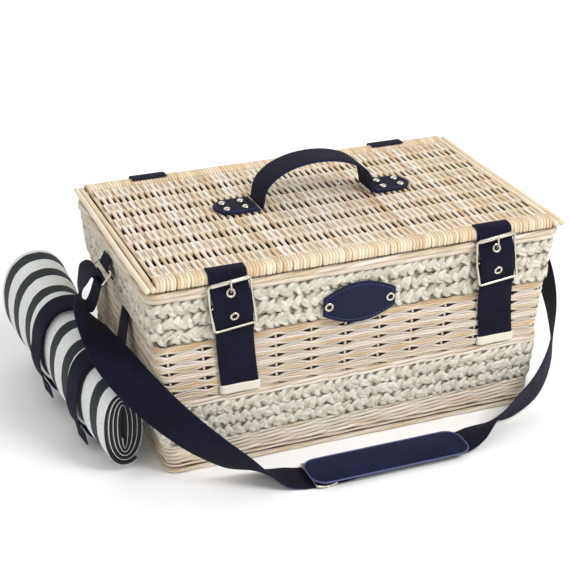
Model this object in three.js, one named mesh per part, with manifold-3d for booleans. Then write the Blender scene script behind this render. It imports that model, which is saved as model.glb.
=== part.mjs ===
// Wicker picnic basket with a hinged lid, two strap-and-buckle latches, a carrying handle,
// a rolled blanket strapped to the left wall and a padded shoulder strap.
// Millimetres. +Z is up, the front faces -Y, +X is the basket's right. z = 0 is the ground.
import * as THREE from "three";
import { mergeVertices } from "three/addons/utils/BufferGeometryUtils.js";
import Module from "manifold-3d";

const wasm = await Module();
wasm.setup();

// ---- driving dimensions ----
const GAP = 0.3; // clearance between pieces that touch
const WALL_TOP_Z = 210;
const BOTTOM_HALF_X = 209;
const BOTTOM_HALF_Y = 125;
const TOP_HALF_X = 226;
const TOP_HALF_Y = 133.5;
const WALL_THICKNESS = 9;
const CORNER_RADIUS = 13;

// the woven bands from the ground up: [node, material, lowest z, highest z, how far it stands out]
const BANDS = [
  ["foot_border", "willow", 0, 11.7, 2],
  ["bottom_wale", "willow", 12, 33.7, 1],
  ["lower_seagrass_band", "seagrass", 34, 76.7, 3],
  ["waist_wale", "willow", 77, 84.7, 1.5],
  ["willow_randing", "willow", 85, 152.7, 0],
  ["upper_seagrass_band", "seagrass", 153, 201.7, 3],
  ["rim_border", "willow", 202, 211.7, 4.2],
];
const BAND_EDGE = 1.6; // how much a band's edges round in

const BASE_LOW_Z = 6;
const BASE_THICKNESS = 6;

const LID_HALF_X = 230;
const LID_HALF_Y = 138;
const LID_LOW_Z = 212;
const LID_BORDER_THICKNESS = 14;
const LID_BORDER_DEPTH = 18.5;
const LID_WEAVE_THICKNESS = 9;
const LID_ROD_RADIUS = 3.1;
const LID_ROD_PITCH = 6.5;
const LID_TOP_Z = LID_LOW_Z + LID_BORDER_THICKNESS;

const WEBBING_WIDTH = 40;
const WEBBING_THICKNESS = 1.5;

const HINGE_STRAP_X = 146;
const LATCH_X = 146;
const LATCH_LEAN = (6.5 * Math.PI) / 180; // the latches hang aslant, their lower ends towards +X
const LEAN_PIVOT_Z = 220;
const LEAN_START_Z = 226.5; // above this the straps lie square on the lid

// latch hardware, in the plane across the strap
const WIRE_RADIUS = 1.4;
const BUCKLE_INNER_HALF_WIDTH = 20.6;
const BUCKLE_BEND = 2.6;
const ROLLER_BAR = { y: -142.6, z: 217 };
const CENTRE_BAR = { y: -140.2, z: 192 };
const BOTTOM_BAR = { y: -143.2, z: 167 };
const ROLLER_RADIUS = 2.3;
const TONGUE_RADIUS = 1.1;
const PIVOT_GAP = 0.25;
const EYELET_BORE = 2.6;
const EYELET_HOLE = 3.5; // hole in the webbing that the eyelet's barrel goes through

const HANDLE_Y = 14;
const HANDLE_CENTRE_X = 5.5;
const HANDLE_WIDTH = 38;
const HANDLE_THICKNESS = 3;
const HANDLE_HALF_SPAN = 64.5;
const HANDLE_RISE = 45;
const FOOT_LENGTH = 46;
const FOOT_THICKNESS = 2.4;
const RIVET_PITCH_X = 21;
const RIVET_PITCH_Y = 17;
const RIVET_SHANK = 1.5;

const BADGE_X = -4;
const BADGE_Z = 168;
const BADGE_HALF_LENGTH = 40;
const BADGE_HALF_HEIGHT = 23;
const BADGE_THICKNESS = 1.5;
const BADGE_EYELET_X = 34;

const ROLL_FRONT_Y = -105;
const ROLL_BACK_Y = 185;
const ROLL_WALL_X = -226.5; // the side of the roll that faces the wall
const ROLL_SQUARENESS = 2.2; // exponent of the roll's superellipse section
const BLANKET_STRAP_Y = { front: -38, rear: 62 };
const BLANKET_STRAP_WIDTH = 26;

const RING_WIRE_RADIUS = 1.5;
const RING_HALF_LENGTH = 22.6;
const RING_BEND = 3;
const RING_INNER_BAR = { x: 232, z: 188 };
const RING_OUTER_BAR = { x: 243, z: 176 };
const RING_TAB_WIDTH = 26;

const SLIDER = { x: -66, y: -183, pitch: 11, bend: 2.4, barRadius: 1.3, sideBarZ: 4.1, centreBarZ: 1.6 };
const PAD = { x: 9, y: -186, lowZ: 5.8, length: 178, width: 46, thickness: 7.2 };

// Everything is drawn about the basket's own centre. The part's origin is the middle of the whole
// outline, which the blanket and the straps pull to the left and to the front.
const OUTLINE_CENTRE = { x: -22, y: -12 };

// ---- materials ----
const MATERIALS = {
  willow: { color: 0xe3cda0, roughness: 0.75, metalness: 0 },
  seagrass: { color: 0xcfcdb2, roughness: 0.9, metalness: 0 },
  webbing: { color: 0x1d2342, roughness: 0.85, metalness: 0 },
  badge: { color: 0x243056, roughness: 0.7, metalness: 0 },
  metal: { color: 0xd8d2c4, roughness: 0.3, metalness: 1 },
  blanket: { color: 0xd9dcd8, roughness: 0.95, metalness: 0 },
  pad: { color: 0x252c52, roughness: 0.85, metalness: 0 },
};

const basket = new THREE.Group();

function addNode(name, geometry, materialName) {
  const material = new THREE.MeshStandardMaterial(MATERIALS[materialName]);
  const mesh = new THREE.Mesh(geometry, material);
  mesh.name = name;
  basket.add(mesh);
}

// ---- solid helpers ----
function toManifold(geometry) {
  const bare = geometry.clone();
  bare.deleteAttribute("normal");
  bare.deleteAttribute("uv");
  const merged = mergeVertices(bare, 1e-4);
  return new wasm.Manifold(
    new wasm.Mesh({
      numProp: 3,
      vertProperties: Float32Array.from(merged.attributes.position.array),
      triVerts: Uint32Array.from(merged.index.array),
    }),
  );
}

function fromManifold(solid) {
  const mesh = solid.getMesh();
  const geometry = new THREE.BufferGeometry();
  geometry.setAttribute("position", new THREE.BufferAttribute(Float32Array.from(mesh.vertProperties), 3));
  geometry.setIndex(new THREE.BufferAttribute(Uint32Array.from(mesh.triVerts), 1));
  return geometry;
}

function join(geometries) {
  const solids = geometries.map(toManifold);
  return fromManifold(solids.reduce((whole, solid) => whole.add(solid)));
}

function cut(geometry, tools) {
  const solids = tools.map(toManifold);
  return fromManifold(solids.reduce((whole, tool) => whole.subtract(tool), toManifold(geometry)));
}

// Skins a list of loops that all have the same number of points. Each loop runs
// right-handed about the direction in which the loops follow each other.
function loft(loops, closed) {
  const count = loops[0].length;
  const positions = loops.flat().flatMap((point) => [point.x, point.y, point.z]);
  const indices = [];
  const steps = closed ? loops.length : loops.length - 1;
  for (let step = 0; step < steps; step += 1) {
    const here = step * count;
    const there = ((step + 1) % loops.length) * count;
    for (let i = 0; i < count; i += 1) {
      const j = (i + 1) % count;
      if (i < count / 2) {
        indices.push(here + i, here + j, there + j, here + i, there + j, there + i);
      } else {
        indices.push(here + i, here + j, there + i, here + j, there + j, there + i);
      }
    }
  }
  if (!closed) {
    const last = (loops.length - 1) * count;
    for (let i = 1; i < count - 1; i += 1) {
      indices.push(0, i + 1, i, last, last + i, last + i + 1);
    }
  }
  const geometry = new THREE.BufferGeometry();
  geometry.setAttribute("position", new THREE.BufferAttribute(Float32Array.from(positions), 3));
  geometry.setIndex(indices);
  return geometry;
}

function roundedRectangle(halfX, halfY, radius, z) {
  const arcSteps = 5;
  const points = [];
  for (let corner = 0; corner < 4; corner += 1) {
    const signX = corner === 0 || corner === 3 ? 1 : -1;
    const signY = corner < 2 ? 1 : -1;
    for (let step = 0; step <= arcSteps; step += 1) {
      const angle = (corner + step / arcSteps) * (Math.PI / 2);
      points.push(
        new THREE.Vector3(
          signX * (halfX - radius) + radius * Math.cos(angle),
          signY * (halfY - radius) + radius * Math.sin(angle),
          z,
        ),
      );
    }
  }
  return points;
}

// A flat strip swept along a curve. Each stop is [x, y, z, width direction x, y, z].
function strip(stops, width, thickness, samples) {
  const path = new THREE.CatmullRomCurve3(stops.map((stop) => new THREE.Vector3(...stop.slice(0, 3))));
  const facing = new THREE.CatmullRomCurve3(stops.map((stop) => new THREE.Vector3(...stop.slice(3, 6))));
  const loops = [];
  for (let i = 0; i <= samples; i += 1) {
    const t = i / samples;
    const centre = path.getPoint(t);
    const along = path.getTangent(t);
    const across = facing.getPoint(t);
    across.addScaledVector(along, -across.dot(along)).normalize();
    const out = along.clone().cross(across);
    loops.push(
      [[-1, -1], [1, -1], [1, 1], [-1, 1]].map(([side, face]) =>
        centre
          .clone()
          .addScaledVector(across, (side * width) / 2)
          .addScaledVector(out, (face * thickness) / 2),
      ),
    );
  }
  return loft(loops, false);
}

// A strip whose width lies along X, bent in the YZ plane. Each stop is [y, z].
function stripAcrossX(stops, x, width, samples) {
  const placed = stops.map(([y, z]) => [x, y, z, 1, 0, 0]);
  return strip(placed, width, WEBBING_THICKNESS, samples);
}

// A strip whose width lies along Y, bent in the XZ plane. Each stop is [x, z].
function stripAcrossY(stops, y, width, samples) {
  const placed = stops.map(([x, z]) => [x, y, z, 0, 1, 0]);
  return strip(placed, width, WEBBING_THICKNESS, samples);
}

// Stops on an arc round a bar, for a strap that turns over it. Angles are in degrees.
function arcStops(centreU, centreZ, radius, startDegrees, endDegrees) {
  const steps = Math.ceil(Math.abs(endDegrees - startDegrees) / 30);
  const stops = [];
  for (let step = 0; step <= steps; step += 1) {
    const angle = ((startDegrees + ((endDegrees - startDegrees) * step) / steps) * Math.PI) / 180;
    stops.push([centreU + radius * Math.cos(angle), centreZ + radius * Math.sin(angle)]);
  }
  return stops;
}

function rod(from, to, radius, segments = 10) {
  const along = to.clone().sub(from);
  const geometry = new THREE.CylinderGeometry(radius, radius, along.length(), segments);
  geometry.applyQuaternion(
    new THREE.Quaternion().setFromUnitVectors(new THREE.Vector3(0, 1, 0), along.clone().normalize()),
  );
  const middle = from.clone().add(to).multiplyScalar(0.5);
  return geometry.translate(middle.x, middle.y, middle.z);
}

// Round wire bent through the corners and back to its start. The normal is the loop's own.
function wireLoop(corners, radius, bend, normal) {
  const sides = 10;
  const bendSteps = 4;
  const loops = [];
  corners.forEach((corner, i) => {
    const before = corners[(i + corners.length - 1) % corners.length];
    const after = corners[(i + 1) % corners.length];
    const start = corner.clone().lerp(before, bend / corner.distanceTo(before));
    const end = corner.clone().lerp(after, bend / corner.distanceTo(after));
    const turn = new THREE.QuadraticBezierCurve3(start, corner, end);
    for (let step = 0; step <= bendSteps; step += 1) {
      const t = step / bendSteps;
      const centre = turn.getPoint(t);
      const along = turn.getTangent(t);
      const up = normal.clone().addScaledVector(along, -normal.dot(along)).normalize();
      const side = along.clone().cross(up);
      const loop = [];
      for (let k = 0; k < sides; k += 1) {
        const angle = (2 * Math.PI * k) / sides;
        loop.push(
          centre
            .clone()
            .addScaledVector(up, radius * Math.cos(angle))
            .addScaledVector(side, radius * Math.sin(angle)),
        );
      }
      loops.push(loop);
    }
  });
  return loft(loops, true);
}

// ---- body of the basket ----
function wallHalfX(z) {
  return BOTTOM_HALF_X + ((TOP_HALF_X - BOTTOM_HALF_X) * z) / WALL_TOP_Z;
}

function wallHalfY(z) {
  return BOTTOM_HALF_Y + ((TOP_HALF_Y - BOTTOM_HALF_Y) * z) / WALL_TOP_Z;
}

function wallLoop(z, outset) {
  return roundedRectangle(wallHalfX(z) + outset, wallHalfY(z) + outset, CORNER_RADIUS + outset, z);
}

function band(low, high, outset) {
  const edge = Math.min(BAND_EDGE, outset + WALL_THICKNESS / 2);
  const profile = [
    [low, -WALL_THICKNESS],
    [low, outset - edge],
    [low + edge, outset],
    [high - edge, outset],
    [high, outset - edge],
    [high, -WALL_THICKNESS],
  ];
  return loft(
    profile.map(([z, out]) => wallLoop(z, out)),
    true,
  );
}

for (const [name, material, low, high, outset] of BANDS) {
  addNode(name, band(low, high, outset), material);
}

function baseWeave() {
  const inset = -WALL_THICKNESS - GAP;
  return loft([wallLoop(BASE_LOW_Z, inset), wallLoop(BASE_LOW_Z + BASE_THICKNESS, inset)], false);
}
addNode("base_weave", baseWeave(), "willow");

// ---- lid ----
const lidRodSpan = 2 * LID_ROD_RADIUS + LID_ROD_PITCH + GAP;
const lidBodyHalfX = LID_HALF_X - lidRodSpan;

function lidBorder(side) {
  const half = new THREE.Vector2(LID_BORDER_DEPTH / 2, LID_BORDER_THICKNESS / 2);
  const rounding = 5;
  const section = [];
  const steps = 4;
  for (let corner = 0; corner < 4; corner += 1) {
    const signY = corner === 0 || corner === 3 ? 1 : -1;
    const signZ = corner < 2 ? 1 : -1;
    for (let step = 0; step <= steps; step += 1) {
      const angle = (corner + step / steps) * (Math.PI / 2);
      section.push([
        signY * (half.x - rounding) + rounding * Math.cos(angle),
        signZ * (half.y - rounding) + rounding * Math.sin(angle),
      ]);
    }
  }
  const centreY = side * (LID_HALF_Y - half.x);
  const centreZ = LID_LOW_Z + GAP + half.y;
  const loops = [-lidBodyHalfX, lidBodyHalfX].map((x) =>
    section.map(([y, z]) => new THREE.Vector3(x, centreY + y, centreZ + z)),
  );
  return loft(loops, false);
}
addNode("lid_front_border", lidBorder(-1), "willow");
addNode("lid_rear_border", lidBorder(1), "willow");

const rivetSpots = [];
for (const side of [-1, 1]) {
  const footCentre = HANDLE_CENTRE_X + side * (HANDLE_HALF_SPAN + GAP + HANDLE_THICKNESS + FOOT_LENGTH / 2);
  for (const stepX of [-0.5, 0.5]) {
    for (const stepY of [-0.5, 0.5]) {
      rivetSpots.push({
        side,
        x: footCentre + stepX * RIVET_PITCH_X,
        y: HANDLE_Y + stepY * RIVET_PITCH_Y,
      });
    }
  }
}

const weaveTopZ = LID_TOP_Z - 1;
const weaveLowZ = weaveTopZ - LID_WEAVE_THICKNESS;

function lidWeave() {
  const halfY = LID_HALF_Y - LID_BORDER_DEPTH - GAP;
  const slab = new THREE.BoxGeometry(2 * lidBodyHalfX, 2 * halfY, LID_WEAVE_THICKNESS);
  slab.translate(0, 0, (weaveTopZ + weaveLowZ) / 2);
  const holes = rivetSpots.map(({ x, y }) =>
    rod(
      new THREE.Vector3(x, y, weaveLowZ - 1),
      new THREE.Vector3(x, y, weaveTopZ + 1),
      RIVET_SHANK + GAP,
    ),
  );
  return cut(slab, holes);
}
addNode("lid_weave", lidWeave(), "willow");

for (const [sideName, side] of [["left", -1], ["right", 1]]) {
  for (const [rodName, rank] of [["inner", 0], ["outer", 1]]) {
    const x = side * (lidBodyHalfX + GAP + LID_ROD_RADIUS + rank * LID_ROD_PITCH);
    const z = LID_LOW_Z + LID_BORDER_THICKNESS / 2;
    const from = new THREE.Vector3(x, -LID_HALF_Y, z);
    const to = new THREE.Vector3(x, LID_HALF_Y, z);
    addNode(`lid_rod_${sideName}_${rodName}`, rod(from, to, LID_ROD_RADIUS, 16), "willow");
  }
}

// ---- hinge straps: over the lid's rear border, down its back and in under the rim ----
function hingeStrap(x) {
  const top = LID_TOP_Z + GAP + 1.2;
  const back = LID_HALF_Y + GAP + 1.1;
  const stops = [
    [back - 17, top],
    [back - 7, top],
    [back - 1.6, top - 1.6],
    [back, top - 7],
    [back, WALL_TOP_Z - 6],
    [back, WALL_TOP_Z - 13],
  ];
  return stripAcrossX(stops, x, WEBBING_WIDTH, 20);
}

// ---- handle: a stitched webbing arch, riveted to the lid at two feet ----
function handleGrip() {
  const springZ = LID_TOP_Z + GAP;
  const stops = [];
  const steps = 8;
  for (let step = 0; step <= steps; step += 1) {
    const angle = Math.PI * (1 - step / steps);
    const rise = HANDLE_RISE * Math.sin(angle) ** 0.8;
    stops.push([
      HANDLE_CENTRE_X + HANDLE_HALF_SPAN * Math.cos(angle),
      HANDLE_Y,
      springZ + rise,
      0,
      1,
      0,
    ]);
  }
  return strip(stops, HANDLE_WIDTH, HANDLE_THICKNESS, 40);
}

function handleFoot(side) {
  const halfWidth = HANDLE_WIDTH / 2;
  const shape = new THREE.Shape();
  shape.moveTo(0, -halfWidth);
  shape.lineTo(FOOT_LENGTH - halfWidth, -halfWidth);
  shape.absellipse(FOOT_LENGTH - halfWidth, 0, halfWidth, halfWidth, -Math.PI / 2, Math.PI / 2, false);
  shape.lineTo(0, halfWidth);
  shape.closePath();
  const foot = new THREE.ExtrudeGeometry(shape, {
    depth: FOOT_THICKNESS,
    bevelEnabled: false,
    curveSegments: 14,
  });
  if (side < 0) {
    foot.rotateZ(Math.PI);
  }
  const startX = HANDLE_CENTRE_X + side * (HANDLE_HALF_SPAN + GAP + HANDLE_THICKNESS);
  foot.translate(startX, HANDLE_Y, LID_TOP_Z - 1 + GAP);
  const holes = rivetSpots
    .filter((spot) => spot.side === side)
    .map(({ x, y }) =>
      rod(
        new THREE.Vector3(x, y, LID_TOP_Z - 2),
        new THREE.Vector3(x, y, LID_TOP_Z + 4),
        RIVET_SHANK + GAP,
      ),
    );
  return cut(foot, holes);
}

function rivet(x, y) {
  const footTop = LID_TOP_Z - 1 + GAP + FOOT_THICKNESS;
  const headLow = footTop + GAP;
  const underside = weaveLowZ - GAP;
  const profile = [
    [0, underside - 1],
    [3, underside - 0.8],
    [3.2, underside],
    [RIVET_SHANK, underside],
    [RIVET_SHANK, headLow],
    [3.9, headLow],
    [3.6, headLow + 1.1],
    [2.2, headLow + 1.9],
    [0, headLow + 2.1],
  ].map(([radius, height]) => new THREE.Vector2(radius, height));
  return new THREE.LatheGeometry(profile, 12).rotateX(Math.PI / 2).translate(x, y, 0);
}

addNode("handle_grip", handleGrip(), "webbing");
for (const [sideName, side] of [["left", -1], ["right", 1]]) {
  addNode(`handle_foot_${sideName}`, handleFoot(side), "webbing");
  addNode(`hinge_strap_${sideName}`, hingeStrap(side * HINGE_STRAP_X), "webbing");
  rivetSpots
    .filter((spot) => spot.side === side)
    .forEach(({ x, y }, i) => addNode(`handle_rivet_${sideName}_${i + 1}`, rivet(x, y), "metal"));
}

// ---- eyelet: a metal ring clenched through a strap. Its axis is Y, its face points to -Y ----
function eyelet() {
  const profile = [
    [EYELET_BORE, -1.6],
    [4.4, -1.5],
    [4.4, -1.05],
    [3.2, -1.05],
    [3.2, 1.05],
    [4.9, 1.05],
    [4.9, 1.4],
    [4.2, 1.8],
    [3.2, 1.9],
    [EYELET_BORE, 1.6],
    [EYELET_BORE, -1.6],
  ].map(([radius, height]) => new THREE.Vector2(radius, height));
  return new THREE.LatheGeometry(profile, 16).rotateX(Math.PI);
}

// ---- latches ----
const BILLET_STOPS = [
  [-126, LID_TOP_Z + 1.5],
  [-132, LID_TOP_Z + 1.5],
  [-137.6, LID_TOP_Z - 0.4],
  [-139.2, 220],
  [-139.2, 214],
  [-142, 205],
  [-145.2, 192],
  [-143, 178],
  [-140.6, 167],
  [-140.1, 160],
];

// Where the billet's middle is at a height, and how far it leans there.
function billetAt(z) {
  const path = new THREE.CatmullRomCurve3(BILLET_STOPS.map(([y, height]) => new THREE.Vector3(0, y, height)));
  let t = 0.3;
  let step = 0.35;
  for (let i = 0; i < 30; i += 1) {
    t += path.getPoint(t).z > z ? step : -step;
    step /= 2;
  }
  const along = path.getTangent(t);
  return { y: path.getPoint(t).y, lean: Math.atan2(along.y, -along.z) };
}

const EYELET_HEIGHTS = [205, 180];

// Turns a latch piece aslant about the middle of its strap. The turn fades out over the lid's edge.
function hangAslant(geometry, x) {
  const points = geometry.getAttribute("position");
  for (let i = 0; i < points.count; i += 1) {
    const across = points.getX(i) - x;
    const height = points.getZ(i) - LEAN_PIVOT_Z;
    const fade = (LEAN_START_Z - points.getZ(i)) / (LEAN_START_Z - LEAN_PIVOT_Z);
    const angle = LATCH_LEAN * THREE.MathUtils.clamp(fade, 0, 1);
    points.setX(i, x + across * Math.cos(angle) - height * Math.sin(angle));
    points.setZ(i, LEAN_PIVOT_Z + across * Math.sin(angle) + height * Math.cos(angle));
  }
  return geometry;
}

function eyeletOnBillet(x, z) {
  const { y, lean } = billetAt(z);
  return eyelet().rotateX(lean).translate(x, y, z);
}

function billet(x) {
  const strap = stripAcrossX(BILLET_STOPS, x, WEBBING_WIDTH, 48);
  const holes = EYELET_HEIGHTS.map((z) => {
    const { y, lean } = billetAt(z);
    return new THREE.CylinderGeometry(EYELET_HOLE, EYELET_HOLE, 8, 16).rotateX(lean).translate(x, y, z);
  });
  return cut(strap, holes);
}

// The lower strap: up the wall, round the centre bar and back down behind itself.
function chape(x) {
  const loopRadius = WIRE_RADIUS + GAP + WEBBING_THICKNESS / 2;
  const { y, z } = CENTRE_BAR;
  const stops = [
    [-129.6, 87],
    [-130.2, 97],
    [-131.4, 125],
    [-134.2, 146],
    [-137, 157],
    [-138.2, 170],
    [-139.4, 180],
    [-141.8, 187],
    ...arcStops(y, z, loopRadius, 180, 0),
    [y + loopRadius + 0.4, z - 6],
    [-136.9, 180],
    [-136.6, 174],
  ];
  const slot = new THREE.BoxGeometry(8.4, 14, 11).translate(x, y, z + 0.5);
  return cut(stripAcrossX(stops, x, WEBBING_WIDTH, 66), [slot]);
}

function buckleFrame(x) {
  const side = BUCKLE_INNER_HALF_WIDTH + WIRE_RADIUS;
  const corner = (sign, bar) => new THREE.Vector3(x + sign * side, bar.y, bar.z);
  const corners = [
    corner(-1, ROLLER_BAR),
    corner(1, ROLLER_BAR),
    corner(1, CENTRE_BAR),
    corner(1, BOTTOM_BAR),
    corner(-1, BOTTOM_BAR),
    corner(-1, CENTRE_BAR),
  ];
  const outline = wireLoop(corners, WIRE_RADIUS, BUCKLE_BEND, new THREE.Vector3(0, -1, 0));
  return join([outline, rod(corner(-1, CENTRE_BAR), corner(1, CENTRE_BAR), WIRE_RADIUS)]);
}

function roller(x) {
  const half = BUCKLE_INNER_HALF_WIDTH - 1.6;
  const bore = WIRE_RADIUS + PIVOT_GAP;
  const profile = [
    [bore, -half],
    [ROLLER_RADIUS, -half],
    [ROLLER_RADIUS, half],
    [bore, half],
    [bore, -half],
  ].map(([radius, height]) => new THREE.Vector2(radius, height));
  return new THREE.LatheGeometry(profile, 20).rotateZ(-Math.PI / 2).translate(x, ROLLER_BAR.y, ROLLER_BAR.z);
}

// The tongue: a ring round the centre bar and a bent pin that rests on the roller.
function tongue(x) {
  const ringRadius = WIRE_RADIUS + PIVOT_GAP + TONGUE_RADIUS;
  const ring = new THREE.TorusGeometry(ringRadius, TONGUE_RADIUS, 8, 20).rotateY(Math.PI / 2);
  ring.translate(x, CENTRE_BAR.y, CENTRE_BAR.z);
  const path = new THREE.CatmullRomCurve3(
    [
      [CENTRE_BAR.y, CENTRE_BAR.z + ringRadius],
      [CENTRE_BAR.y + 0.8, 200.5],
      [CENTRE_BAR.y + 0.3, 203.4],
      [CENTRE_BAR.y - 1.8, 205],
      [CENTRE_BAR.y - 4, 206.6],
      [CENTRE_BAR.y - 6.4, 210],
      [CENTRE_BAR.y - 7.4, 215],
      [CENTRE_BAR.y - 7.5, 220.5],
    ].map(([y, z]) => new THREE.Vector3(x, y, z)),
  );
  const circle = new THREE.Shape().absarc(0, 0, TONGUE_RADIUS, 0, 2 * Math.PI, false);
  const pin = new THREE.ExtrudeGeometry(circle, { steps: 22, extrudePath: path, curveSegments: 4 });
  return join([ring, pin]);
}

for (const [sideName, side] of [["left", -1], ["right", 1]]) {
  const x = side * LATCH_X;
  addNode(`billet_${sideName}`, hangAslant(billet(x), x), "webbing");
  EYELET_HEIGHTS.forEach((z, i) => {
    addNode(`billet_eyelet_${sideName}_${i + 1}`, hangAslant(eyeletOnBillet(x, z), x), "metal");
  });
  addNode(`chape_${sideName}`, hangAslant(chape(x), x), "webbing");
  addNode(`buckle_frame_${sideName}`, hangAslant(buckleFrame(x), x), "metal");
  addNode(`buckle_roller_${sideName}`, hangAslant(roller(x), x), "metal");
  addNode(`buckle_tongue_${sideName}`, hangAslant(tongue(x), x), "metal");
}

// ---- badge: a blank oval patch with blunt ends, held by two eyelets ----
const wallLean = Math.atan2(TOP_HALF_Y - BOTTOM_HALF_Y, WALL_TOP_Z);
const badgeY = -(wallHalfY(BADGE_Z) + 3 + GAP + 1.7);

// turns a piece made in the XZ plane, facing -Y, onto the leaning front wall
function ontoFrontWall(geometry, x, z) {
  return geometry.rotateX(wallLean).translate(x, badgeY, z);
}

function badge() {
  const bluntness = 0.45; // half height of the cut-off ends, as a share of the badge's half height
  const reach = Math.acos(bluntness);
  const shape = new THREE.Shape();
  const arcSteps = 10;
  for (const sign of [1, -1]) {
    for (let step = 0; step <= arcSteps; step += 1) {
      const share = 1 - (2 * step) / arcSteps;
      const x = sign * share * BADGE_HALF_LENGTH;
      const y = sign * BADGE_HALF_HEIGHT * Math.cos(share * reach);
      if (sign === 1 && step === 0) {
        shape.moveTo(x, y);
      } else {
        shape.lineTo(x, y);
      }
    }
  }
  shape.closePath();
  const patch = new THREE.ExtrudeGeometry(shape, { depth: BADGE_THICKNESS, bevelEnabled: false });
  patch.translate(0, 0, -BADGE_THICKNESS / 2).rotateX(Math.PI / 2);
  const holes = [-1, 1].map((sign) =>
    new THREE.CylinderGeometry(EYELET_HOLE, EYELET_HOLE, 8, 16).translate(sign * BADGE_EYELET_X, 0, 0),
  );
  return cut(patch, holes);
}
addNode("badge", ontoFrontWall(badge(), BADGE_X, BADGE_Z), "badge");
for (const [sideName, side] of [["left", -1], ["right", 1]]) {
  const grommet = ontoFrontWall(eyelet(), BADGE_X + side * BADGE_EYELET_X, BADGE_Z);
  addNode(`badge_eyelet_${sideName}`, grommet, "metal");
}

// ---- rolled blanket on the left wall ----
function rollSection(y) {
  const share = (y - ROLL_FRONT_Y) / (ROLL_BACK_Y - ROLL_FRONT_Y);
  const halfWidth = 21.5 + 21.5 * share ** 0.85;
  return {
    halfWidth,
    halfHeight: 42.5 + 14.5 * share,
    x: ROLL_WALL_X - halfWidth,
    z: 53.5 + 26.5 * share,
  };
}

// A point on the roll's outline, grown outwards. Angle 0 is the top and a quarter turn faces the wall.
function rollPoint(y, angle, outset) {
  const { halfWidth, halfHeight, x, z } = rollSection(y);
  const bend = (value) => Math.sign(value) * Math.abs(value) ** (2 / ROLL_SQUARENESS);
  return {
    x: x + (halfWidth + outset) * bend(Math.sin(angle)),
    z: z + (halfHeight + outset) * bend(Math.cos(angle)),
  };
}

function blanketRoll() {
  const stations = 13;
  const around = 28;
  const loops = [];
  for (let station = 0; station <= stations; station += 1) {
    const y = ROLL_FRONT_Y + ((ROLL_BACK_Y - ROLL_FRONT_Y) * station) / stations;
    const loop = [];
    for (let i = 0; i < around; i += 1) {
      const { x, z } = rollPoint(y, (2 * Math.PI * i) / around, 0);
      loop.push(new THREE.Vector3(x, y, z));
    }
    loops.push(loop);
  }
  return loft(loops, false);
}
addNode("blanket_roll", blanketRoll(), "blanket");

const degree = Math.PI / 180;

// A stop of a blanket strap: it lies along the roll's surface, whose section changes along Y.
function strapStop(y, angle, outset) {
  const near = rollPoint(y - BLANKET_STRAP_WIDTH / 2, angle * degree, outset);
  const far = rollPoint(y + BLANKET_STRAP_WIDTH / 2, angle * degree, outset);
  const position = [(near.x + far.x) / 2, y, (near.z + far.z) / 2];
  return [...position, far.x - near.x, BLANKET_STRAP_WIDTH, far.z - near.z];
}

// From the wall above the roll, over it and down its outer side to a hanging tail.
function blanketStrapUpper(y) {
  const stops = [[-(wallHalfX(150) + 1.6), y, 152, 0, BLANKET_STRAP_WIDTH, 0]];
  for (let angle = 36; angle >= -132; angle -= 12) {
    const lift = angle < -90 ? 5 : 2.9;
    stops.push(strapStop(y, angle, lift));
  }
  const [tailX, , tailZ, ...across] = stops[stops.length - 1];
  stops.push([tailX + 3, y, Math.max(tailZ - 16, 4), ...across]);
  return strip(stops, BLANKET_STRAP_WIDTH, WEBBING_THICKNESS, 48);
}

// From the wall below the roll, under it and up to where the tail laps over it.
function blanketStrapLower(y) {
  const stops = [[-(wallHalfX(28) + 2.6), y, 28, 0, BLANKET_STRAP_WIDTH, 0]];
  for (let angle = 142; angle <= 238; angle += 12) {
    stops.push(strapStop(y, angle, 2.3));
  }
  return strip(stops, BLANKET_STRAP_WIDTH, WEBBING_THICKNESS, 36);
}

for (const [place, y] of Object.entries(BLANKET_STRAP_Y)) {
  addNode(`blanket_strap_upper_${place}`, blanketStrapUpper(y), "webbing");
  addNode(`blanket_strap_lower_${place}`, blanketStrapLower(y), "webbing");
}

// ---- shoulder strap ----
function ringTab(side) {
  const { x, z } = RING_INNER_BAR;
  const reach = RING_WIRE_RADIUS + GAP + WEBBING_THICKNESS / 2;
  const wall = wallHalfX(z) + 3 + GAP + WEBBING_THICKNESS / 2;
  const stops = [
    [wall + 1.1, z + 11],
    [wall + 2.2, z + 7.5],
    ...arcStops(x, z, reach, 45, -45),
    [wall + 1.6, z - 7],
    [wall - 0.2, z - 12],
  ];
  return stripAcrossY(stops.map(([reachX, height]) => [side * reachX, height]), 0, RING_TAB_WIDTH, 42);
}

function ring(side) {
  const corners = [
    [RING_INNER_BAR, -1],
    [RING_INNER_BAR, 1],
    [RING_OUTER_BAR, 1],
    [RING_OUTER_BAR, -1],
  ].map(([bar, end]) => new THREE.Vector3(side * bar.x, end * RING_HALF_LENGTH, bar.z));
  const normal = corners[1].clone().sub(corners[0]).cross(corners[2].clone().sub(corners[1]));
  return wireLoop(corners, RING_WIRE_RADIUS, RING_BEND, normal.normalize());
}

// The sewn end: up the tail, round the ring's outer bar and up again.
// The strap's width points backwards on the left (side -1) and forwards on the right.
function sewnEnd(side) {
  const { x, z } = RING_OUTER_BAR;
  const reach = RING_WIRE_RADIUS + GAP + WEBBING_THICKNESS / 2;
  const path = [
    [x + 4.6, 0, z + 9],
    [x + 3, 0, z + 4],
    ...arcStops(x, z, reach, 0, -180).map(([reachX, height]) => [reachX, 0, height]),
    [x - 2.4, 0, z + 4],
    [x - 1, 0, z + 8.5],
    [x + 4, 0, z + 12],
    [x + 10.5, 0, z + 9.5],
  ];
  return path.map(([reachX, y, height]) => [side * reachX, y, height, 0, -side, 0]);
}

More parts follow.
